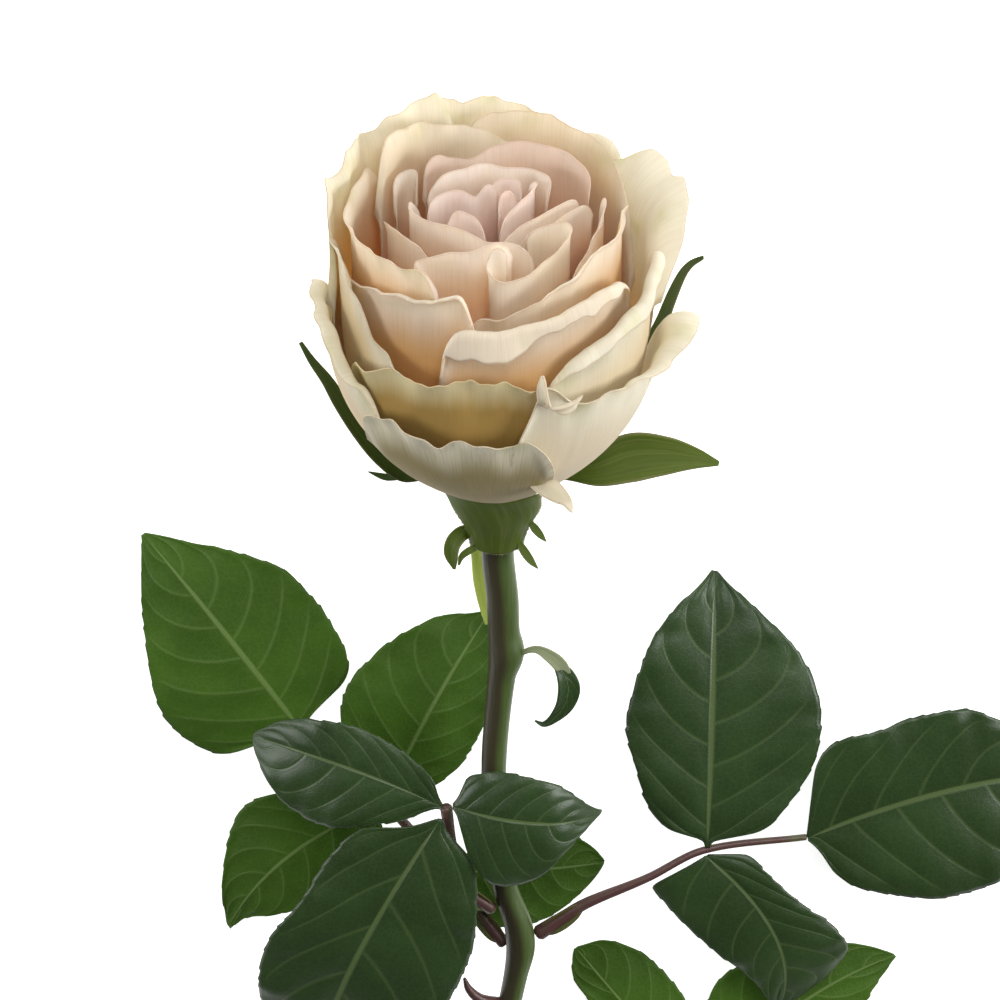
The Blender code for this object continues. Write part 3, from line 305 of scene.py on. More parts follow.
# Leaflets: node, side that shows, foot, tip, rise of the midrib, fold of the two halves, droop of
# the margins, curl of the tip, roll about the midrib, sideways sweep of the midrib, then the left
# and right half widths at these shares of the length
OUTLINE_AT = (0.0, 0.03, 0.07, 0.15, 0.3, 0.45, 0.6, 0.75, 0.88, 0.96, 1.0)
LEAFLETS = [
    ("leaflet_front_left_side", "top", (-11.5, -74.1, 26.3), (-51.6, -63.7, 16),
     2.5, 0.1, 3, 2.5, 6, -2.5,
     (0.5, 1.2, 2.8, 6.4, 10.4, 14, 15, 12.6, 7.4, 3.6, 0.5),
     (0.5, 2, 4.6, 6.4, 8, 8.8, 8.7, 7.4, 4.9, 2.2, 0.5)),
    ("leaflet_front_left_end", "top", (-11.7, -76.8, 26.6), (-40, -157, 5),
     9, 0.14, 4, 2, 0, -6,
     (0.5, 3.4, 10.6, 16, 21.6, 22.6, 20.4, 15, 8.6, 3.4, 0.5),
     (0.5, 5, 13, 15.6, 16.4, 18.6, 17, 12, 6.6, 2.6, 0.5)),
    ("leaflet_front_left_over", "top", (-9.2, -73.8, 26.6), (22.2, -77.9, 25),
     4, 0.05, 4.5, 5, -9, -0.5,
     (0.5, 2.4, 6.6, 8.4, 9.6, 9.6, 8.8, 6.4, 2.9, 1, 0.3),
     (0.5, 1.6, 4.6, 10.5, 15.6, 16, 13.6, 7.8, 3, 1, 0.3)),
    ("leaflet_back_left_end", "under", (-41.8, -68.3, 3), (-73.6, -23.4, 1),
     3.4, 0.02, 2, 0, 0, -1.5,
     (0.5, 6, 16, 20.4, 23, 21.2, 16.8, 11.6, 6, 2.2, 0.5),
     (0.5, 5, 14, 17.8, 19.4, 19.6, 18.4, 13.2, 6.6, 2.6, 0.5)),
    ("leaflet_back_left_upper", "under", (-23.3, -82.7, 5.9), (-1.5, -40.6, 2.5),
     3, 0.02, 2, 0, 0, 1.5,
     (0.5, 1.8, 6.6, 12.5, 17, 17.8, 16, 13.2, 8.6, 3, 0.5),
     (0.5, 1.6, 5.4, 8.6, 11.4, 12, 11, 8.4, 4.8, 2, 0.5)),
    ("leaflet_back_left_lower", "under", (-24.9, -85.5, 5.7), (-58.5, -118.1, 1),
     2.5, 0.02, 2, 0, 0, -5,
     (0.5, 1.6, 5.4, 9.5, 13, 14, 12.6, 8.6, 3.4, 1.2, 0.5),
     (0.5, 1.6, 5.4, 9.5, 13.6, 14.8, 12.6, 8.8, 5.2, 2, 0.5)),
    ("leaflet_back_left_behind", "under", (-8.8, -100.4, 7.5), (23.1, -101.7, 1.5),
     1.5, 0.01, 2, 0, 0, 0,
     (0.5, 1.6, 5, 8.6, 11.6, 12, 11, 8.4, 5.2, 2.4, 0.5),
     (0.5, 1.8, 6, 10.8, 14.4, 15, 13.8, 10.4, 6.4, 3, 0.5)),
    ("leaflet_right_upper", "top", (44.6, -91, 13.9), (45.4, -31.4, 2.6),
     3, 0.1, 2.5, 1, 0, 0,
     (0.5, 1.4, 8.2, 12.6, 15.6, 18, 16.4, 13.4, 8, 2.6, 0.5),
     (0.5, 1.8, 10.6, 15.6, 21.2, 23, 21.8, 16.8, 8.6, 3, 0.5)),
    ("leaflet_right_end", "top", (66, -90.1, 11.3), (126.6, -78.6, 2.4),
     3.5, 0.12, 3, 1.5, 0, 5.5,
     (0.5, 8, 16, 19.6, 18.8, 19, 18.4, 12.8, 7, 2.5, 0.5),
     (0.5, 4, 10.6, 16.8, 22.8, 25.6, 25, 19, 10.6, 4, 0.5)),
    ("leaflet_right_lower", "top", (44.4, -93.3, 13.3), (61.5, -135.6, 8),
     4, 0.1, 4, 1, 0, 7,
     (0.5, 4, 6.8, 7, 7.4, 9.6, 12.8, 14.4, 10.4, 3.8, 0.5),
     (0.5, 9, 15, 16.6, 16.4, 14.4, 10.8, 6.8, 3.6, 1.6, 0.5)),
    ("leaflet_lower_right_first", "under", (45.2, -157.3, 4.2), (17.2, -123.2, 1.6),
     2, 0.03, 1.5, 0, 0, 0,
     (0.5, 1, 2, 4.2, 7, 8, 6.6, 5.4, 5, 2.6, 0.5),
     (0.5, 1.4, 3, 6, 9, 11.2, 11.8, 11, 8.6, 5.4, 0.5)),
    ("leaflet_lower_right_upper", "under", (49.7, -157.7, 3.4), (86.9, -125.3, 1.2),
     3, 0.05, 1.5, 0, 0, 6,
     (0.5, 1.8, 6.6, 12, 16.2, 16.2, 14.4, 11.4, 8, 4, 0.5),
     (0.5, 1.8, 6, 10.6, 14, 14, 12, 8.4, 4.4, 1.8, 0.5)),
    ("leaflet_lower_right_end", "under", (61.4, -162, 2.5), (108, -174, 1.2),
     2.5, 0.05, 1.5, 0, 0, 0,
     (0.5, 1.8, 6.4, 12, 16.6, 17, 15.4, 11.6, 6.4, 2.4, 0.5),
     (0.5, 1.8, 6.4, 12, 16.4, 16.6, 15, 11.2, 6, 2.4, 0.5)),
]
# Small leaf at the upper node: its pale folded stalk, then its blade
BRACT_STALK = ((3.6, -41.8, 21.4, 0.5), (6.2, -39.6, 22.6, 0.6), (8.4, -39, 23.4, 0.9),
    (11.2, -40.4, 24, 1.4), (13, -42.2, 24.2, 1.5), (14.2, -44.4, 24.2, 1.1))
BRACT = ((12.4, -42, 24.1, 1), (14, -44.6, 24.4, 2), (14.6, -48, 24, 2.5), (13.8, -52, 23.2, 2),
    (11.6, -55.6, 22.2, 1.1), (9.6, -57.2, 21.6, 0.6), (7.8, -56.6, 21.2, 0.2))


# ---------------------------------------------------------------- settings
COLOUR = {"size": 3, "min": 0, "max": 1, "subtype": "COLOR"}


class RoseSettings(bpy.types.PropertyGroup):
    """Sizes and colours a user would change."""

    petal_thickness: bpy.props.FloatProperty(
        name="Petal thickness", description="Thickness of a petal in metres",
        default=0.00027, min=0.0001, max=0.0006, unit="LENGTH", precision=5)
    leaf_thickness: bpy.props.FloatProperty(
        name="Leaf thickness", description="Thickness of a leaflet or sepal in metres",
        default=0.0004, min=0.0002, max=0.0008, unit="LENGTH", precision=5)
    petal_outer: bpy.props.FloatVectorProperty(
        name="Outer petals", description="Colour of the outer petals at their rims",
        default=(0.83, 0.79, 0.65), **COLOUR)
    petal_heart: bpy.props.FloatVectorProperty(
        name="Heart petals", description="Colour of the petals at the heart of the bloom",
        default=(0.93, 0.80, 0.72), **COLOUR)
    leaf_top: bpy.props.FloatVectorProperty(
        name="Leaf top", description="Colour of a leaflet's glossy upper side",
        default=(0.019, 0.042, 0.010), **COLOUR)
    leaf_under: bpy.props.FloatVectorProperty(
        name="Leaf underside", description="Colour of a leaflet's matt underside",
        default=(0.048, 0.106, 0.009), **COLOUR)
    floor: bpy.props.FloatVectorProperty(
        name="Floor", description="Colour of the floor the rose lies on",
        default=(0.92, 0.92, 0.92), **COLOUR)


# ---------------------------------------------------------------- lines and waves
def smooth(q):
    """0 to 1 with level ends."""
    q = np.clip(q, 0.0, 1.0)
    return q * q * (3 - 2 * q)


class Line:
    """A smooth line through stations of any number of values, measured by the first few."""

    def __init__(self, stations, measured=3):
        self.spots = np.array(stations, float)
        steps = np.linalg.norm(np.diff(self.spots[:, :measured], axis=0), axis=1)
        self.run = np.concatenate([[0.0], np.cumsum(steps)])
        self.length = self.run[-1]
        last = len(self.spots) - 1
        before = np.maximum(np.arange(last + 1) - 1, 0)
        after = np.minimum(np.arange(last + 1) + 1, last)
        gap = (self.run[after] - self.run[before])[:, None]
        self.slopes = (self.spots[after] - self.spots[before]) / gap

    def at(self, v):
        """Values at v from -1 to 1."""
        r = (np.asarray(v, float) + 1) / 2 * self.length
        i = np.clip(np.searchsorted(self.run, r, side="right") - 1, 0, len(self.run) - 2)
        gap = self.run[i + 1] - self.run[i]
        q = np.clip((r - self.run[i]) / gap, 0, 1)[..., None]
        gap = gap[..., None]
        return (self.spots[i] * (2 * q**3 - 3 * q**2 + 1)
                + self.slopes[i] * gap * (q**3 - 2 * q**2 + q)
                + self.spots[i + 1] * (3 * q**2 - 2 * q**3)
                + self.slopes[i + 1] * gap * (q**3 - q**2))


def waves(x, seed, longest, octaves=3):
    """A gentle random wave of about -1 to 1 along x, whose longest wave has this length."""
    rng = np.random.default_rng(seed)
    total = np.zeros_like(x)
    for k in range(octaves):
        for _ in range(3):
            pitch = longest / 1.9**k * rng.uniform(0.8, 1.25)
            total += 0.42 * 0.6**k * np.sin(2 * math.pi * (x / pitch + rng.random()))
    return total


def unit(vectors):
    return vectors / np.maximum(np.linalg.norm(vectors, axis=-1, keepdims=True), 1e-9)


def bloom_to_world(points):
    return FOOT + points[..., :1] * ACROSS + points[..., 1:2] * UNDER + points[..., 2:3] * ALONG


# ---------------------------------------------------------------- materials
class Nodes:
    """Shorthand for building a node tree."""

    def __init__(self, tree):
        self.tree = tree

    def node(self, kind, inputs=None, **settings):
        """A new node with these settings, its inputs set or linked."""
        node = self.tree.nodes.new(kind)
        for key, value in settings.items():
            setattr(node, key, value)
        for key, value in (inputs or {}).items():
            if isinstance(value, bpy.types.NodeSocket):
                self.tree.links.new(value, node.inputs[key])
            else:
                node.inputs[key].default_value = value
        return node

    def add(self, kind, inputs=None, output=0, **settings):
        """One output of a new node."""
        return self.node(kind, inputs, **settings).outputs[output]

    def math(self, operation, *values):
        return self.add("ShaderNodeMath", dict(enumerate(values)), operation=operation)

    def times(self, first, second):
        return self.math("MULTIPLY", first, second)

    def plus(self, first, second):
        return self.math("ADD", first, second)


class Skin(Nodes):
    """Shorthand for building a material."""

    def __init__(self, name):
        self.material = bpy.data.materials.new(name)
        self.material.use_nodes = True
        super().__init__(self.material.node_tree)
        self.tree.nodes.clear()

    def attribute(self, name):
        return self.add("ShaderNodeAttribute", attribute_name=name, output="Fac")

    def grain(self):
        """A leaf's own place across and along."""
        return self.add("ShaderNodeUVMap", uv_map="UVMap")

    def place(self):
        return self.add("ShaderNodeTexCoord", output="Object")

    def ramp(self, value, low, high, to_low=0.0, to_high=1.0):
        return self.add("ShaderNodeMapRange", {
            "Value": value, "From Min": low, "From Max": high, "To Min": to_low, "To Max": to_high,
        }, interpolation_type="SMOOTHSTEP")

    def mix(self, share, first, second, blend="MIX"):
        first, second = (c if isinstance(c, bpy.types.NodeSocket) else (*c, 1.0)
                         for c in (first, second))
        return self.add("ShaderNodeMix", {0: share, 6: first, 7: second}, output=2,
                        data_type="RGBA", blend_type=blend)

    def noise(self, vector, scale, detail=3.0, roughness=0.55):
        return self.add("ShaderNodeTexNoise", {
            "Vector": vector, "Scale": scale, "Detail": detail, "Roughness": roughness,
        }, output="Fac")

    def stretched(self, vector, scale, detail=3.0, roughness=0.55):
        """Noise with its own scale each way."""
        spread = self.add("ShaderNodeMapping", {"Vector": vector, "Scale": scale})
        return self.noise(spread, 1.0, detail, roughness)

    def finish(self, base, roughness, specular, bump=None, glow=None, share=0.0, **more):
        """The material: its colour, a bump given as height, strength and depth, and the share of
        light that passes through it in the colour of its glow."""
        normal = {}
        if bump:
            height, strength, depth = bump
            normal = {"Normal": self.add("ShaderNodeBump", {
                "Height": height, "Strength": strength, "Distance": depth})}
        shader = self.add("ShaderNodeBsdfPrincipled", {
            "Base Color": base, "Roughness": roughness, "Specular IOR Level": specular,
            **normal, **more})
        if glow:
            through = self.add("ShaderNodeBsdfTranslucent", {"Color": glow, **normal})
            shader = self.add("ShaderNodeMixShader", {0: share, 1: shader, 2: through})
        self.node("ShaderNodeOutputMaterial", {"Surface": shader})
        return self.material


# Linear colours: rim, body and depth of the inner face, body of the outer face, green edge. The
# depth colour is partly the petals' own warmer base and partly painted glow and shade deep in the
# bloom.
PETAL_COLOURS = {
    "outer": ((0.83, 0.79, 0.65), (0.83, 0.73, 0.46), (0.86, 0.58, 0.18), (0.70, 0.54, 0.26),
              (0.62, 0.62, 0.30)),
    # guard: the front guard petal's own duller tone, darkened further as painted shade
    "guard": ((0.74, 0.70, 0.55), (0.62, 0.56, 0.38), (0.46, 0.34, 0.16), (0.28, 0.225, 0.09),
              (0.50, 0.50, 0.28)),
    # gold: the front petal's yellow cream, darkened towards brown gold as painted shade
    "gold": ((0.80, 0.72, 0.44), (0.74, 0.60, 0.28), (0.70, 0.40, 0.08), (0.42, 0.275, 0.08),
             (0.74, 0.68, 0.36)),
    # middle: the outer-face body is darkened as painted shade
    "middle": ((0.90, 0.85, 0.74), (0.90, 0.75, 0.50), (0.94, 0.52, 0.11), (0.70, 0.47, 0.20),
               (0.72, 0.70, 0.44)),
    # mauve: the back inner petal's greyish mauve, darkened in part as painted shade
    "mauve": ((0.80, 0.69, 0.60), (0.80, 0.64, 0.51), (0.93, 0.60, 0.34), (0.80, 0.66, 0.56),
              (0.72, 0.60, 0.50)),
    "inner": ((0.93, 0.90, 0.85), (0.93, 0.82, 0.67), (0.94, 0.55, 0.18), (0.90, 0.74, 0.54),
              (0.86, 0.80, 0.62)),
    "heart": ((0.93, 0.88, 0.84), (0.93, 0.80, 0.72), (0.93, 0.56, 0.36), (0.93, 0.80, 0.72),
              (0.92, 0.78, 0.70)),
}
COOL_PETAL = (0.83, 0.79, 0.66)
# Share of the light that passes through a petal
PETAL_GLOW = {"outer": 0.34, "guard": 0.2, "gold": 0.3, "middle": 0.5, "mauve": 0.45,
              "inner": 0.56, "heart": 0.56}
# Petals with a finish of their own; the guard, gold and mauve finishes are darkened in part as
# painted shade
OWN_SKIN = {"petal_front_guard": "guard", "petal_front": "gold", "petal_mauve_back": "mauve"}


def petal_material(name, settings):
    """Velvety petal: lengthwise veins, a paler rim with a thin tan line, warmer deep down, partly
    its own colour and partly painted glow and shade.
    """
    rim, body, deep, back, edge = PETAL_COLOURS[name]
    if name == "outer":
        rim = settings.petal_outer
    if name == "heart":
        body = back = settings.petal_heart
    n = Skin("velvet_" + name)
    grain = n.grain()
    depth = n.attribute("depth")
    streaks = n.stretched(grain, (3.2, 0.10, 1.0), 4.0, 0.6)
    cloud = n.stretched(grain, (0.11, 0.08, 1.0), 2.0)
    # Towards the depth colour deep down: partly the petal's own warmer base, partly painted glow
    # and shade
    inner = n.mix(n.ramp(depth, 0.0, 12.0), rim, body)
    inner = n.mix(n.ramp(depth, 7.0, 28.0), inner, deep)
    outer = n.mix(n.ramp(depth, 0.0, 8.0 if name == "gold" else 13.0), rim, back)
    outer = n.mix(n.ramp(depth, 11.0, 38.0), outer, deep)
    base = n.mix(n.attribute("reverse"), outer, inner)
    # Petals with little warmth go paler and cooler; the warmth is partly their own tone and partly
    # painted warm bounce light of shaded petals
    cool = n.mix(0.75, base, COOL_PETAL)
    base = n.mix(n.attribute("warmth"), cool, base)
    tinted = n.times(n.ramp(depth, 8.0, 0.5), n.ramp(cloud, 0.48, 0.70))
    base = n.mix(n.times(tinted, 0.5), base, edge)
    line = n.ramp(n.attribute("rim"), 0.45, 0.1)
    base = n.mix(n.times(line, 0.3), base, (0.50, 0.30, 0.16))
    veined = n.ramp(streaks, 0.42, 0.72, 0.0, 0.42 if name == "guard" else 0.14)
    base = n.mix(veined, base, (0.62, 0.48, 0.32), "MULTIPLY")
    glow = n.mix(n.ramp(depth, 3.0, 20.0, 0.15, 0.8), base, deep)
    return n.finish(base, 0.6, 0.2, (streaks, 0.25, 0.0002), glow, PETAL_GLOW[name],
                    **{"Sheen Weight": 0.1, "Sheen Roughness": 0.4})


LEAF_VEINS = 6.4  # side veins to the length of a leaflet
VEIN_LEAN = 0.13
VEIN_BEND = 0.17
QUILT = 0.36  # how far the leaf bulges between its side veins


def leaf_material(name, face, vein):
    """Leaflet: midrib and side veins from the leaf's own place across and along, a fine net
    between them, glossy above and matt below."""
    glossy = name == "leaf_top"
    n = Skin(name)
    across = n.attribute("across")
    out = n.math("ABSOLUTE", across)
    lean = n.plus(n.times(out, VEIN_LEAN), n.times(n.math("POWER", out, 2.0), VEIN_BEND))
    phase = n.times(n.math("SUBTRACT", n.attribute("along"), lean), LEAF_VEINS)
    phase = n.plus(phase, n.times(n.math("GREATER_THAN", across, 0.0), 0.5))
    away = n.math("ABSOLUTE", n.math("SUBTRACT", n.math("FRACT", phase), 0.5))
    side_vein = n.times(n.ramp(away, 0.42, 0.5), n.ramp(out, 1.0, 0.75))
    ribs = n.math("MAXIMUM", n.times(side_vein, 0.38), n.ramp(out, 0.045, 0.012))
    place = n.place()
    net = n.add("ShaderNodeTexVoronoi", {"Vector": place, "Scale": 750.0}, output="Distance",
                feature="DISTANCE_TO_EDGE")
    net_line = n.ramp(net, 0.12, 0.0)
    cloud = n.noise(place, 60.0)
    base = n.mix(n.ramp(cloud, 0.35, 0.7, 0.0, 0.5), face, [c * 1.7 for c in face])
    base = n.mix(n.times(net_line, 0.07), base, vein)
    base = n.mix(n.times(ribs, 0.62), base, vein)
    height = n.plus(n.times(net_line, -0.06 if glossy else 0.15),
                    n.times(ribs, -0.8 if glossy else 1.0))
    height = n.plus(height, n.times(n.noise(place, 2600.0, 2.0), 0.05))
    glow = n.mix(0.5, base, (0.16, 0.36, 0.03))
    roughness, specular, share = (0.4, 0.5, 0.12) if glossy else (0.6, 0.3, 0.3)
    return n.finish(base, roughness, specular, (height, 0.45, 0.0004), glow, share)


def sepal_material(name, inner, outer, margin):
    """Sepal: bright inner face, darker outer face, pale downy margin and fine lengthwise veins."""
    n = Skin(name)
    away = n.math("ABSOLUTE", n.attribute("across"))
    grain = n.grain()
    streaks = n.stretched(grain, (9.0, 0.8, 1.0))
    cloud = n.stretched(grain, (2.0, 1.5, 1.0), 2.0)
    base = n.mix(n.attribute("reverse"), inner, outer)
    base = n.mix(n.ramp(cloud, 0.35, 0.7, 0.0, 0.5), base, [c * 0.6 for c in inner])
    base = n.mix(n.ramp(streaks, 0.45, 0.75, 0.0, 0.3), base, margin)
    base = n.mix(n.ramp(away, 0.86, 1.0, 0.0, 0.75), base, margin)
    glow = n.mix(0.5, base, (0.30, 0.45, 0.04))
    return n.finish(base, 0.55, 0.35, (streaks, 0.35, 0.0003), glow, 0.35)


def bark_material(name, first, second, share=None):
    """Stem or stalk skin: one colour with the other in patches of this share or, with no share,
    along its far side."""
    n = Skin(name)
    place = n.place()
    patches = n.stretched(place, (90.0, 25.0, 90.0), 4.0)
    streaks = n.stretched(place, (900.0, 60.0, 900.0))
    if share:
        change = n.ramp(patches, share - 0.12, share + 0.12)
    else:
        change = n.ramp(n.plus(n.attribute("around"), n.times(patches, 0.8)), 0.85, 0.25)
    base = n.mix(change, first, second)
    base = n.mix(n.ramp(streaks, 0.4, 0.8, 0.0, 0.3), base, [c * 0.5 for c in second])
    return n.finish(base, 0.4, 0.45, (streaks, 0.4, 0.0003))


# Finishes of sepals and stipules: inner face, outer face, margin
SEPAL_SKINS = {
    "sepal_skin": ((0.095, 0.145, 0.008), (0.05, 0.085, 0.018), (0.30, 0.28, 0.13)),
    "sepal_dark": ((0.05, 0.09, 0.02), (0.035, 0.06, 0.02), (0.24, 0.22, 0.12)),
    "stipule_skin": ((0.10, 0.12, 0.03), (0.08, 0.09, 0.03), (0.16, 0.10, 0.05)),
    "sepal_pale": ((0.34, 0.38, 0.22), (0.10, 0.15, 0.05), (0.46, 0.46, 0.30)),
    # The hanging sepal: its yellow green brightened as painted light, standing in for the light it
    # lacks in the shade under the bloom
    "sepal_yellow": ((0.72, 0.82, 0.22), (0.70, 0.80, 0.20), (0.80, 0.84, 0.40)),
}
# Finishes of the round parts and the down: first and second colour, share of the patches
BARK_SKINS = {
    "sepal_down": ((0.30, 0.27, 0.15), (0.16, 0.17, 0.07), 0.5),
    "hip_skin": ((0.075, 0.12, 0.012), (0.10, 0.11, 0.02), 0.55),
    "stem_skin": ((0.055, 0.088, 0.018), (0.036, 0.031, 0.015)),
    "stalk_skin": ((0.075, 0.032, 0.030), (0.085, 0.095, 0.035), 0.6),
}
VEIN_COLOURS = {"leaf_top": (0.12, 0.17, 0.06), "leaf_under": (0.22, 0.32, 0.10)}


def look(name):
    """The material of that name, made when first asked for."""
    made = bpy.data.materials.get(name)
    if made:
        return made
    settings = bpy.context.scene.rose
    if name in SEPAL_SKINS:
        return sepal_material(name, *SEPAL_SKINS[name])
    if name in BARK_SKINS:
        return bark_material(name, *BARK_SKINS[name])
    if name in VEIN_COLOURS:
        return leaf_material(name, getattr(settings, name), VEIN_COLOURS[name])
    return petal_material(name.removeprefix("velvet_"), settings)


# ---------------------------------------------------------------- pieces
def put(name, data):
    """A new object of the scene."""
    made = bpy.data.objects.new(name, data)
    bpy.context.scene.collection.objects.link(made)
    return made


def hand_over(name, mesh, node):
    """The piece of this mesh rides with the rose and stands for this node of its frame."""
    piece = put("rose_" + name, mesh)
    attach(piece, "root")
    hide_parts(node)


def mesh_of(name, points, edges=(), faces=()):
    """A mesh of points in millimetres from the place where the rose lies."""
    mesh = bpy.data.meshes.new(name)
    mesh.from_pydata(((points + PLACE) * MM).tolist(), edges, faces)
    return mesh


def give(mesh, name, values, kind="FLOAT"):
    """Give the mesh's points an attribute."""
    made = mesh.attributes.new(name, kind, "POINT")
    made.data.foreach_set("value" if kind == "FLOAT" else "vector",
                          np.asarray(values, np.float32).ravel())


def dress(mesh, finish):
    mesh.shade_smooth()
    mesh.materials.clear()
    mesh.materials.append(look(finish))


def evaluated(guide):
    """The plain mesh that a guide's modifiers make; the guide itself goes."""
    graph = bpy.context.evaluated_depsgraph_get()
    mesh = bpy.data.meshes.new_from_object(guide.evaluated_get(graph))
    bpy.data.objects.remove(guide)
    return mesh


def shell(name, node, finish, thickness, grid, across, along, values):
    """A thin closed leaf with rounded edges around a grid of points in millimetres. The values
    become attributes of the points of both faces."""
    rows, columns = grid.shape[:2]
    normal = unit(np.cross(np.gradient(grid, axis=1), np.gradient(grid, axis=0)))
    edge = np.minimum.outer(np.minimum(np.arange(rows), np.arange(rows)[::-1]),
                            np.minimum(np.arange(columns), np.arange(columns)[::-1]))
    half = thickness / MM / 2 * np.where(edge == 0, THIN_RIM, 1.0)[..., None]
    points = np.concatenate([(grid + normal * half).reshape(-1, 3),
                             (grid - normal * half).reshape(-1, 3)])
    one = rows * columns
    index = np.arange(one).reshape(rows, columns)
    quads = np.stack([index[:-1, :-1], index[:-1, 1:], index[1:, 1:], index[1:, :-1]], axis=-1)
    upper = quads.reshape(-1, 4)
    lower = upper[:, ::-1] + one
    loop = np.concatenate([index[0, :-1], index[:-1, -1], index[-1, :0:-1], index[:0:-1, 0]])
    after = np.roll(loop, -1)
    band = np.stack([after, loop, loop + one, after + one], axis=1)
    faces = np.concatenate([upper, lower, band])
    mesh = mesh_of("rose_" + name, points, faces=faces.tolist())
    uv = mesh.uv_layers.new(name="UVMap")
    flat = np.stack([np.tile(np.ravel(across), 2), np.tile(np.ravel(along), 2)], axis=1)
    uv.data.foreach_set("uv", flat[faces.ravel()].astype(np.float32).ravel())
    give(mesh, "reverse", np.repeat([0.0, 1.0], one))
    for key, value in values.items():
        give(mesh, key, np.tile(np.ravel(value), 2))
    dress(mesh, finish)
    hand_over(name, mesh, node)


def leaf_shell(name, node, slot, finish, grid, u, v, **values):
    """A shell of a leaf's thickness, whose places across and along are u and v."""
    across, along = np.broadcast_arrays(u, v)
    shell(name, node, finish, bpy.context.scene.rose.leaf_thickness, grid, across, along,
          {"across": across, "along": along, **values})


def sheet(rows, columns):
    """Places of a sheet's rows and columns, each from -1 to 1."""
    return np.linspace(-1, 1, rows)[:, None], np.linspace(-1, 1, columns)[None, :]


def petal_surface(finish, claw, roll, ruffle, rim, seed):
    """Points of a petal's middle surface, foot to rim and over its lip, with for each point its
    place across and along, in millimetres."""
    line = Line(rim, measured=2)
    count = max(20, round(line.length / PETAL_STEP))
    columns = np.linspace(-1, 1, count + 1)
    heights, sideways = ruffle
    along_rim = columns * line.length / 2
    lip = line.at(columns)[:, 3]
    rise = heights * waves(along_rim, seed, RUFFLE_LENGTH)
    corner = min(CORNER[finish], line.length / 4)
    end = np.clip(1 - (1 - np.abs(columns)) * line.length / 2 / corner, 0, 1)
    fall = corner * (1 - np.sqrt(1 - end**2 * 0.98))
    bend = RIM_BEND[finish] * (1 + 0.5 * waves(along_rim, seed + BEND_SEED, 14.0, 2))
    bend = bend * np.clip(1 - lip / LONG_LIP, 0, 1)
    narrow = CLAW_WIDTH / (line.length * FOOT_SHARE)
    grid = []
    for s in 1 - (1 - np.linspace(0, 1, PETAL_ROWS)) ** 1.6:
        spread = narrow + (1 - narrow) * smooth(s / SPREAD_BY[finish])
        spot = line.at(claw + (columns - claw) * spread)
        x, y = spot[:, 0], spot[:, 1]
        near_rim = smooth((s - 0.72) / 0.28)
        top = spot[:, 2] - fall
        low = DOME_RISE * (1 - np.hypot(x, y) / DOME_RADIUS) + SEAT_GAP
        z = low + (top - low) * s + rise * near_rim
        climb = np.clip((z - low) / SHOULDER_HEIGHT, 0, 1)
        share = FOOT_SHARE + (1 - FOOT_SHARE) * (1 - (1 - climb) ** SHOULDER_ROUND)
        side = unit(np.gradient(spot[:, :2], axis=0))
        below = (top - low) * (1 - s)
        lean = bend * np.clip(1 - below / (3.5 * RIM_BEND[finish] + 1), 0, 1) ** 2
        sway = sideways * near_rim * waves(along_rim, seed + SWAY_SEED, 13.0, 2) + lean
        grid.append(np.stack([x * share + side[:, 1] * sway, y * share - side[:, 0] * sway,
                              z - 0.35 * lean], axis=1))
    if lip.any():
        below, edge = grid[-5], grid[-1]
        side = unit(np.gradient(line.at(columns)[:, :2], axis=0))
        up = unit(edge - below)
        out = np.stack([side[:, 1], -side[:, 0], np.zeros(len(columns))], axis=1)
        out = unit(out - up * (out * up).sum(1, keepdims=True))
        reach = np.maximum(0.4, lip)
        reach = reach * (1 + 0.1 * waves(along_rim, seed + REACH_SEED, 14.0)) * (1 - end**4 * 0.7)
        turn_within = np.minimum(LIP_TURN, reach) if roll > 100 else reach
        full_turn = math.radians(roll) * (1 + 0.08 * waves(along_rim, seed + TURN_SEED, 16.0, 2))
        point = edge.copy()
        steps = 4 * max(5, round(reach.max() / 0.7))
        for k in range(1, steps + 1):
            turn = (full_turn * smooth(reach * (k - 0.5) / steps / turn_within))[:, None]
            point = point + (up * np.cos(turn) + out * np.sin(turn)) * (reach / steps)[:, None]
            if k % 4 == 0:
                grid.append(point.copy())
    grid = np.array(grid)
    lengths = np.linalg.norm(np.diff(grid, axis=0), axis=2)
    along = np.concatenate([np.zeros((1, grid.shape[1])), np.cumsum(lengths, axis=0)])
    return bloom_to_world(grid), np.broadcast_to(along_rim, along.shape), along


def petal(number):
    node, finish, claw, roll, ruffle, rim = PETALS[number]
    grid, across, along = petal_surface(finish, claw, roll, ruffle, rim, number)
    column = np.arange(across.shape[1])
    from_side = np.minimum(column, column[::-1]) * PETAL_STEP
    shell(node, node, "velvet_" + OWN_SKIN.get(node, finish),
          bpy.context.scene.rose.petal_thickness, grid, across, along,
          {"depth": np.maximum(along[PETAL_ROWS - 1] - along, 0.0),
           "rim": np.minimum(along[-1] - along, from_side[None, :]),
           "warmth": np.full(across.shape, WARMTH.get(node, 1.0))})


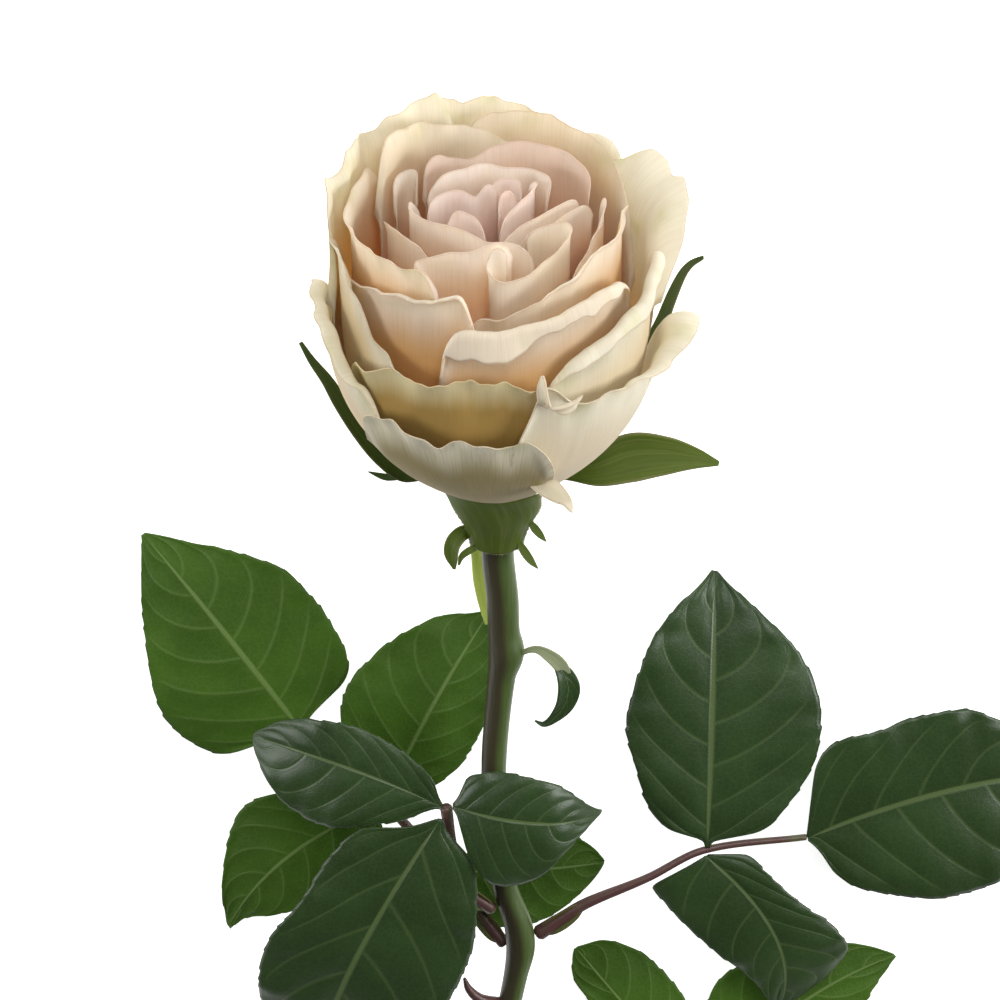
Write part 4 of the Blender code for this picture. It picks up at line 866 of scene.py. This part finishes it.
def leaflet(number):
    node, shows, foot, tip, rise, fold, droop, curl, roll, sweep, left, right = LEAFLETS[number]
    start, end = np.array(foot), np.array(tip)
    length = np.linalg.norm(end - start)
    widest = max(*left, *right)
    ahead = unit(end - start)
    side = unit(np.cross((0.0, 0.0, 1.0), ahead))
    side = np.array(Matrix.Rotation(math.radians(roll), 3, Vector(ahead)) @ Vector(side))
    up = np.cross(ahead, side)
    t = np.linspace(0.0, 1.0, max(60, round(length / LEAF_STEP)) + 1)[:, None]
    u = np.linspace(-1, 1, LEAF_COLUMNS)[None, :]
    out = np.abs(u)
    outline = Line(np.column_stack([OUTLINE_AT, left, right]), measured=1).at(2 * t[:, 0] - 1)
    half = np.where(u > 0, outline[:, 1:2], outline[:, 2:3])
    run = t * length + np.where(u > 0, TOOTH_SHIFT, 0.0)
    run = run + 1.1 * waves(run, number + MARGIN_SEED, 19.0, 2)
    teeth = (run / TOOTH_PITCH) % 1.0
    bite = TOOTH * (teeth**1.5 - 0.4) * (1 + 0.5 * waves(run, number + TOOTH_SEED, 15.0, 1))
    bite = bite * smooth(t / 0.15) * smooth((1 - t) / 0.04) * smooth((out - 0.86) / 0.14)
    away = out * np.maximum(half + bite, 0.3)
    lift = 4 * rise * t * (1 - t) - curl * np.maximum(0.0, (t - 0.6) / 0.4) ** 2
    lift = lift + fold * away - droop * (away / widest) ** 2
    phase = (t - VEIN_LEAN * out - VEIN_BEND * out**2) * LEAF_VEINS + np.where(u > 0, 0.5, 0.0)
    quilt = np.abs(np.sin(math.pi * phase)) ** 0.8 * smooth(out / 0.25) * smooth((1 - out) / 0.2)
    relief = QUILT * widest / 20.0 * quilt * smooth(t / 0.1) * smooth((1 - t) / 0.1)
    wave = 0.5 * waves(t * length, number + WAVE_SEED, 22.0) * out**2
    wave = wave * np.where(u > 0, 1.0, -0.8)
    lift = lift + (relief if shows == "top" else -relief) + wave
    bow = 4 * sweep * t * (1 - t)
    grid = (start + (end - start) * t[..., None]
            + side * (np.sign(u) * away + bow)[..., None] + up * lift[..., None])
    leaf_shell(node, node, "leaf", "leaf_" + shows, grid, u, t)


def strip(name, node, slot, finish, stations, face, bend, in_bloom=True):
    """A leaf-like strip along stations of x, y, z and half width, bent round across its width."""
    v, u = sheet(STRIP_ROWS, STRIP_COLUMNS)
    spot = Line(stations).at(v[:, 0])
    ahead = unit(np.gradient(spot[:, :3], axis=0))
    side = unit(np.cross(ahead, face))
    inward = np.cross(side, ahead)
    angle = u * spot[:, 3:4] / bend
    grid = (spot[:, None, :3] + side[:, None, :] * (bend * np.sin(angle))[..., None]
            + inward[:, None, :] * (bend * (1 - np.cos(angle)))[..., None])
    if in_bloom:
        grid = bloom_to_world(grid)
    reach = (1 - np.abs(u)) * spot[:, 3:4]
    leaf_shell(name, node, slot, finish, grid, u, (v + 1) / 2, depth=reach + 1.0, rim=reach,
               warmth=np.full(reach.shape, STRIP_WARMTH))


def tube(name, node, finish, stations, sides, step):
    """A solid round branch through stations of x, y, z and radius, with rounded ends."""
    line = Line(stations)
    count = max(6, round(line.length / step))
    spots = line.at(np.linspace(-1, 1, count + 1))
    ahead = unit(np.gradient(spots[:, :3], axis=0))
    side = unit(np.cross(ahead, (0.0, 0.0, 1.0)))
    other = np.cross(ahead, side)
    turn = np.linspace(0, 2 * math.pi, sides, endpoint=False)
    rings = []
    for k, push, share in ((0, -0.35, 0.75), *((k, 0.0, 1.0) for k in range(count + 1)),
                           (-1, 0.35, 0.75)):
        centre = spots[k, :3] + ahead[k] * push * spots[k, 3]
        rings.append(centre + spots[k, 3] * share * (np.outer(np.cos(turn), side[k])
                                                     + np.outer(np.sin(turn), other[k])))
    rings = np.array(rings)
    index = np.arange(len(rings) * sides).reshape(len(rings), sides)
    beyond = np.roll(index, -1, axis=1)
    quads = np.stack([index[:-1], beyond[:-1], beyond[1:], index[1:]], axis=-1).reshape(-1, 4)
    faces = quads.tolist() + [index[0, ::-1].tolist(), index[-1].tolist()]
    mesh = mesh_of("rose_" + name, rings.reshape(-1, 3), faces=faces)
    spoke = (rings - rings.mean(axis=1, keepdims=True)).reshape(-1, 3)
    give(mesh, "around", unit(spoke)[:, 0])
    dress(mesh, finish)
    hand_over(name, mesh, node)


# ---------------------------------------------------------------- what grows in numbers
class Growth(Nodes):
    """Shorthand for building a Geometry Nodes tree with these named inputs."""

    def __init__(self, name, **inputs):
        super().__init__(bpy.data.node_groups.new(name, "GeometryNodeTree"))
        sockets = self.tree.interface
        for key, kind in {"Geometry": "Geometry", **inputs, "Material": "Material"}.items():
            sockets.new_socket(key, in_out="INPUT", socket_type="NodeSocket" + kind)
        sockets.new_socket("Geometry", in_out="OUTPUT", socket_type="NodeSocketGeometry")
        self.given = self.node("NodeGroupInput").outputs

    def named(self, name, kind="FLOAT"):
        """What the guide's points carry under this name."""
        return self.add("GeometryNodeInputNamedAttribute", {"Name": name}, data_type=kind)

    def finish(self, points, shape, turn, size):
        """Put the shape on the points, realize it and give it its material."""
        copies = self.add("GeometryNodeInstanceOnPoints", {
            "Points": points, "Instance": shape, "Rotation": turn, "Scale": size})
        real = self.add("GeometryNodeRealizeInstances", {"Geometry": copies})
        dressed = self.add("GeometryNodeSetMaterial", {
            "Geometry": real, "Material": self.given["Material"]})
        self.node("NodeGroupOutput", {"Geometry": dressed})
        return self.tree


def prickle_tree():
    """A hooked, tapering prickle on each point, leaning along the point's outward direction."""
    n = Growth("Prickles", Width="Float", Hook="Float")
    hook = n.add("ShaderNodeCombineXYZ", {"Y": n.times(n.given["Hook"], -1.0), "Z": 1.0})
    spine = n.add("GeometryNodeCurveQuadraticBezier", {
        "Resolution": 8, "Start": (0.0, 0.0, 0.0), "Middle": (0.0, 0.05, 0.6), "End": hook})
    share = n.add("GeometryNodeSplineParameter", output="Factor")
    taper = n.math("POWER", n.math("SUBTRACT", 1.0, share), 1.5)
    rim = n.add("GeometryNodeCurvePrimitiveCircle", {
        "Resolution": 12, "Radius": n.given["Width"]})
    thorn = n.add("GeometryNodeCurveToMesh", {
        "Curve": spine, "Profile Curve": rim, "Scale": n.math("MULTIPLY_ADD", taper, 0.96, 0.04),
        "Fill Caps": True})
    outward = n.named("out", "FLOAT_VECTOR")
    turn = n.add("FunctionNodeAxesToRotation", {0: outward, 1: (0.0, 1.0, 0.0)},
                 primary_axis="Z", secondary_axis="Y")
    return n.finish(n.given["Geometry"], thorn, turn, n.named("size"))


def down_tree():
    """Short hairs along each line of the guide, each leaning its own way round the outward one."""
    n = Growth("Down", Spacing="Float", Thickness="Float", Spread="Float", Seed="Int")
    line = n.add("GeometryNodeMeshToCurve", {"Mesh": n.given["Geometry"]})
    even = n.add("GeometryNodeResampleCurve", {
        "Curve": line, "Length": n.given["Spacing"]}, mode="LENGTH")
    points = n.add("GeometryNodeCurveToPoints", {"Curve": even}, mode="EVALUATED")
    hair = n.add("GeometryNodeMeshCone", {
        "Vertices": 4, "Radius Top": 0.0, "Radius Bottom": n.given["Thickness"], "Depth": 1.0})
    stray = n.add("FunctionNodeRandomValue", {
        0: (-1.0, -1.0, -1.0), 1: (1.0, 1.0, 1.0), "Seed": n.given["Seed"]},
        data_type="FLOAT_VECTOR")
    stray = n.add("ShaderNodeVectorMath", {0: stray, "Scale": n.given["Spread"]},
                  operation="SCALE")
    outward = n.named("out", "FLOAT_VECTOR")
    way = n.add("ShaderNodeVectorMath", {0: outward, 1: stray}, operation="ADD")
    turn = n.add("FunctionNodeAlignRotationToVector", {"Vector": way}, axis="Z")
    vary = n.add("FunctionNodeRandomValue", {2: 0.5, 3: 1.3, "Seed": n.given["Seed"]},
                 output=1, data_type="FLOAT")
    return n.finish(points, hair, turn, n.times(vary, n.named("size")))


def grown(name, node, tree, places, lines, outs, sizes, inputs):
    """What a tree makes on a guide of points and lines, in millimetres."""
    guide_name = "rose_%s_guide" % name
    mesh = mesh_of(guide_name, np.array(places), edges=lines)
    give(mesh, "out", unit(np.array(outs)), "FLOAT_VECTOR")
    give(mesh, "size", np.array(sizes) * MM)
    guide = put(guide_name, mesh)
    live = guide.modifiers.new("grown", "NODES")
    live.node_group = tree
    for item in tree.interface.items_tree:
        if item.in_out == "INPUT" and item.name in inputs:
            live[item.identifier] = inputs[item.name]
    made = evaluated(guide)
    if not made.polygons:
        raise RuntimeError("nothing grew for " + name)
    made.shade_smooth()
    hand_over(name, made, node)


# ---------------------------------------------------------------- operators
class ROSE_OT_petals(bpy.types.Operator):
    """Build the petals, outermost first"""

    bl_idname = "rose.petals"
    bl_label = "Petals"

    def execute(self, context):
        for number in range(len(PETALS)):
            petal(number)
        for name, node, face, bend, stations in CURLS:
            strip(name, node, "petal_outer", "velvet_outer", stations, face, bend)
        return {"FINISHED"}


class ROSE_OT_hip(bpy.types.Operator):
    """Build the hip under the petals"""

    bl_idname = "rose.hip"
    bl_label = "Hip"

    def execute(self, context):
        mesh = bpy.data.meshes.new("hip_profile")
        mesh.from_pydata([(r * MM, 0.0, z * MM) for r, z in HIP_PROFILE],
                         [(i, i + 1) for i in range(len(HIP_PROFILE) - 1)], [])
        guide = put("hip_guide", mesh)
        turned = guide.modifiers.new("turned", "SCREW")
        turned.axis = "Z"
        turned.steps = turned.render_steps = HIP_SIDES
        turned.use_merge_vertices = True
        turned.merge_threshold = 0.00001
        made = evaluated(guide)
        place = Matrix((Vector(ACROSS), Vector(-UNDER), Vector(ALONG))).transposed().to_4x4()
        place.translation = Vector((FOOT + PLACE) * MM)
        made.transform(place)
        dress(made, "hip_skin")
        hand_over("hip", made, "hip")
        return {"FINISHED"}


class ROSE_OT_sepals(bpy.types.Operator):
    """Build the five sepals"""

    bl_idname = "rose.sepals"
    bl_label = "Sepals"

    def execute(self, context):
        for node, face, bend, stations in SEPALS:
            strip(node, node, "sepal", SEPAL_FINISH.get(node, "sepal_skin"), stations, face, bend)
        for number, (node, face, stations) in enumerate(SEPAL_LOBES):
            strip("sepal_lobe_%d" % number, node, "sepal", SEPAL_FINISH.get(node, "sepal_skin"),
                  stations, face, LOBE_BEND)
        v, u = sheet(APRON_ROWS, APRON_COLUMNS)
        left, right, z, r = Line(APRON).at(v[:, 0]).T[:, :, None]
        angle = np.radians(right + (left - right) * (u + 1) / 2)
        grid = np.stack([r * np.cos(angle), r * np.sin(angle),
                         np.broadcast_to(z, angle.shape)], axis=-1)
        leaf_shell("sepal_front", "sepal_front", "sepal", "sepal_skin", bloom_to_world(grid),
                   u, (v + 1) / 2)
        low = grid[DOWN_FROM:]
        edge = bloom_to_world(np.concatenate([low[:-1, 0], low[-1], low[-2::-1, -1]]))
        middle = bloom_to_world(low.mean(axis=1))
        core = np.concatenate([middle[:-1], np.repeat(middle[-1:], APRON_COLUMNS, 0),
                               middle[-2::-1]])
        lines = [(i, i + 1) for i in range(len(edge) - 1)]
        grown("sepal_front_down", "sepal_front", down_tree(), edge, lines,
              unit(edge - core) - 0.6 * ALONG, np.full(len(edge), DOWN_LENGTH),
              {"Spacing": 0.1 * MM, "Thickness": 0.13, "Spread": 0.8, "Seed": 4,
               "Material": look("sepal_down")})
        return {"FINISHED"}


class ROSE_OT_stem(bpy.types.Operator):
    """Build the stem with its bud and prickles"""

    bl_idname = "rose.stem"
    bl_label = "Stem"

    def execute(self, context):
        tube("stem", "stem", "stem_skin", STEM, sides=32, step=0.8)
        tube("bud", "stem", "stalk_skin", BUD, sides=16, step=0.6)
        spots = Line(STEM).at(np.linspace(-1, 1, 2000))
        roots, outs, sizes = [], [], []
        for y, side, length in PRICKLES:
            spot = spots[np.abs(spots[:, 1] - y).argmin()]
            x, z = heading(side)
            out = np.array((x, 0.0, z))
            roots.append(spot[:3] + out * (spot[3] - PRICKLE_ROOT))
            outs.append(out)
            sizes.append(length)
        grown("prickles", "stem", prickle_tree(), roots, [], outs, sizes,
              {"Width": 0.34, "Hook": 0.5, "Material": look("stalk_skin")})
        return {"FINISHED"}


class ROSE_OT_stalks(bpy.types.Operator):
    """Build the leaf stalks"""

    bl_idname = "rose.stalks"
    bl_label = "Leaf stalks"

    def execute(self, context):
        for name, stations in STALKS:
            tube(name, name, "stalk_skin", stations, sides=16, step=0.8)
            line = Line(stations)
            shares = np.linspace(0.0, STIPULE_LENGTH / line.length, len(STIPULE))
            spots = line.at(2 * shares - 1)
            spots[:, 2] += STIPULE_LIFT
            spots[:, 3] = STIPULE
            strip(name + "_stipule", name, "leaf_stalk", "stipule_skin", spots, (0.0, 0.0, 1.0),
                  STIPULE_BEND, in_bloom=False)
        return {"FINISHED"}


class ROSE_OT_leaflets(bpy.types.Operator):
    """Build the leaflets and the small leaf at the upper node"""

    bl_idname = "rose.leaflets"
    bl_label = "Leaflets"

    def execute(self, context):
        for number in range(len(LEAFLETS)):
            leaflet(number)
        strip("bract_stalk", "bract", "leaf", "sepal_pale", BRACT_STALK, (0.0, 0.2, 1.0), 3.0,
              in_bloom=False)
        strip("bract", "bract", "leaf", "leaf_top", BRACT, (0.3, 0.2, 1.0), 5.0, in_bloom=False)
        return {"FINISHED"}


# The stage: the directions of the camera's view and of its upper edge, then in millimetres the
# point it looks at from PLACE and its distance; lamps in metres: name, place, size, watts
LOOK_ALONG = Vector((0.0, -0.4226, -0.9063))
LOOK_UP = Vector((0.0, 0.9063, -0.4226))
AIM = Vector((0.6, 0.0, 0.0)) + LOOK_UP * -14.6 - LOOK_ALONG * 22.7
CAMERA_DISTANCE = 800.0
LENS = 144.0
FLOOR_HALF = 3.0
SKY_STRENGTH = 0.07
LAMPS = (("right", (0.90, 0.24, 0.52), 0.5, 9.6), ("left", (-0.88, 0.20, 0.45), 0.5, 5.4),
         ("beyond", (0.10, 0.92, 0.90), 0.6, 8.4))
LAMP_AIM = Vector((-0.02, 0.1, 0.03))


class ROSE_OT_stage(bpy.types.Operator):
    """Set up the camera, the floor and the soft studio light"""

    bl_idname = "rose.stage"
    bl_label = "Stage"

    def execute(self, context):
        scene = context.scene
        camera = bpy.data.cameras.new("camera")
        camera.lens = LENS
        camera.sensor_width = 36.0
        camera.clip_end = 10.0
        eye = put("camera", camera)
        turn = Matrix((Vector((1, 0, 0)), LOOK_UP, -LOOK_ALONG)).transposed()
        eye.matrix_world = turn.to_4x4()
        eye.location = (AIM + Vector(PLACE) - LOOK_ALONG * CAMERA_DISTANCE) * MM
        scene.camera = eye

        half = FLOOR_HALF
        ground = bpy.data.meshes.new("floor")
        ground.from_pydata([(-half, -half, 0), (half, -half, 0), (half, half, 0), (-half, half, 0)],
                           [], [(0, 1, 2, 3)])
        ground.materials.append(Skin("floor_pale").finish(
            (*scene.rose.floor, 1.0), 0.8, 0.5,
            **{"Emission Color": (1, 1, 1, 1), "Emission Strength": 0.85}))
        floor = put("floor", ground)

        world = bpy.data.worlds.new("studio")
        world.use_nodes = True
        sky = world.node_tree.nodes["Background"].inputs
        sky[0].default_value = (1.0, 1.0, 1.0, 1.0)
        sky[1].default_value = SKY_STRENGTH
        scene.world = world
        for name, place, size, power in LAMPS:
            lamp = bpy.data.lights.new(name, "AREA")
            lamp.size = size
            lamp.energy = power
            body = put(name, lamp)
            body.location = place
            toward = LAMP_AIM - Vector(place)
            body.rotation_euler = toward.to_track_quat("-Z", "Y").to_euler()
        scene.view_settings.view_transform = "Standard"
        return {"FINISHED"}


OPERATORS = (ROSE_OT_stage, ROSE_OT_petals, ROSE_OT_hip, ROSE_OT_sepals, ROSE_OT_stem,
             ROSE_OT_stalks, ROSE_OT_leaflets)


class ROSE_PT_panel(bpy.types.Panel):
    """Lists the rose's settings and the operators that build it."""

    bl_label = "Cut rose"
    bl_idname = "ROSE_PT_panel"
    bl_space_type = "VIEW_3D"
    bl_region_type = "UI"
    bl_category = "Rose"

    def draw(self, context):
        settings = context.scene.rose
        for key in RoseSettings.__annotations__:
            self.layout.prop(settings, key)
        for operator in OPERATORS:
            self.layout.operator(operator.bl_idname)


CLASSES = (RoseSettings, *OPERATORS, ROSE_PT_panel)


def register():
    for item in CLASSES:
        bpy.utils.register_class(item)
    bpy.types.Scene.rose = bpy.props.PointerProperty(type=RoseSettings)


def unregister():
    del bpy.types.Scene.rose
    for item in reversed(CLASSES):
        bpy.utils.unregister_class(item)


def main():
    register()
    for operator in OPERATORS:
        group, name = operator.bl_idname.split(".")
        getattr(getattr(bpy.ops, group), name)()


if __name__ == "__main__":
    main()
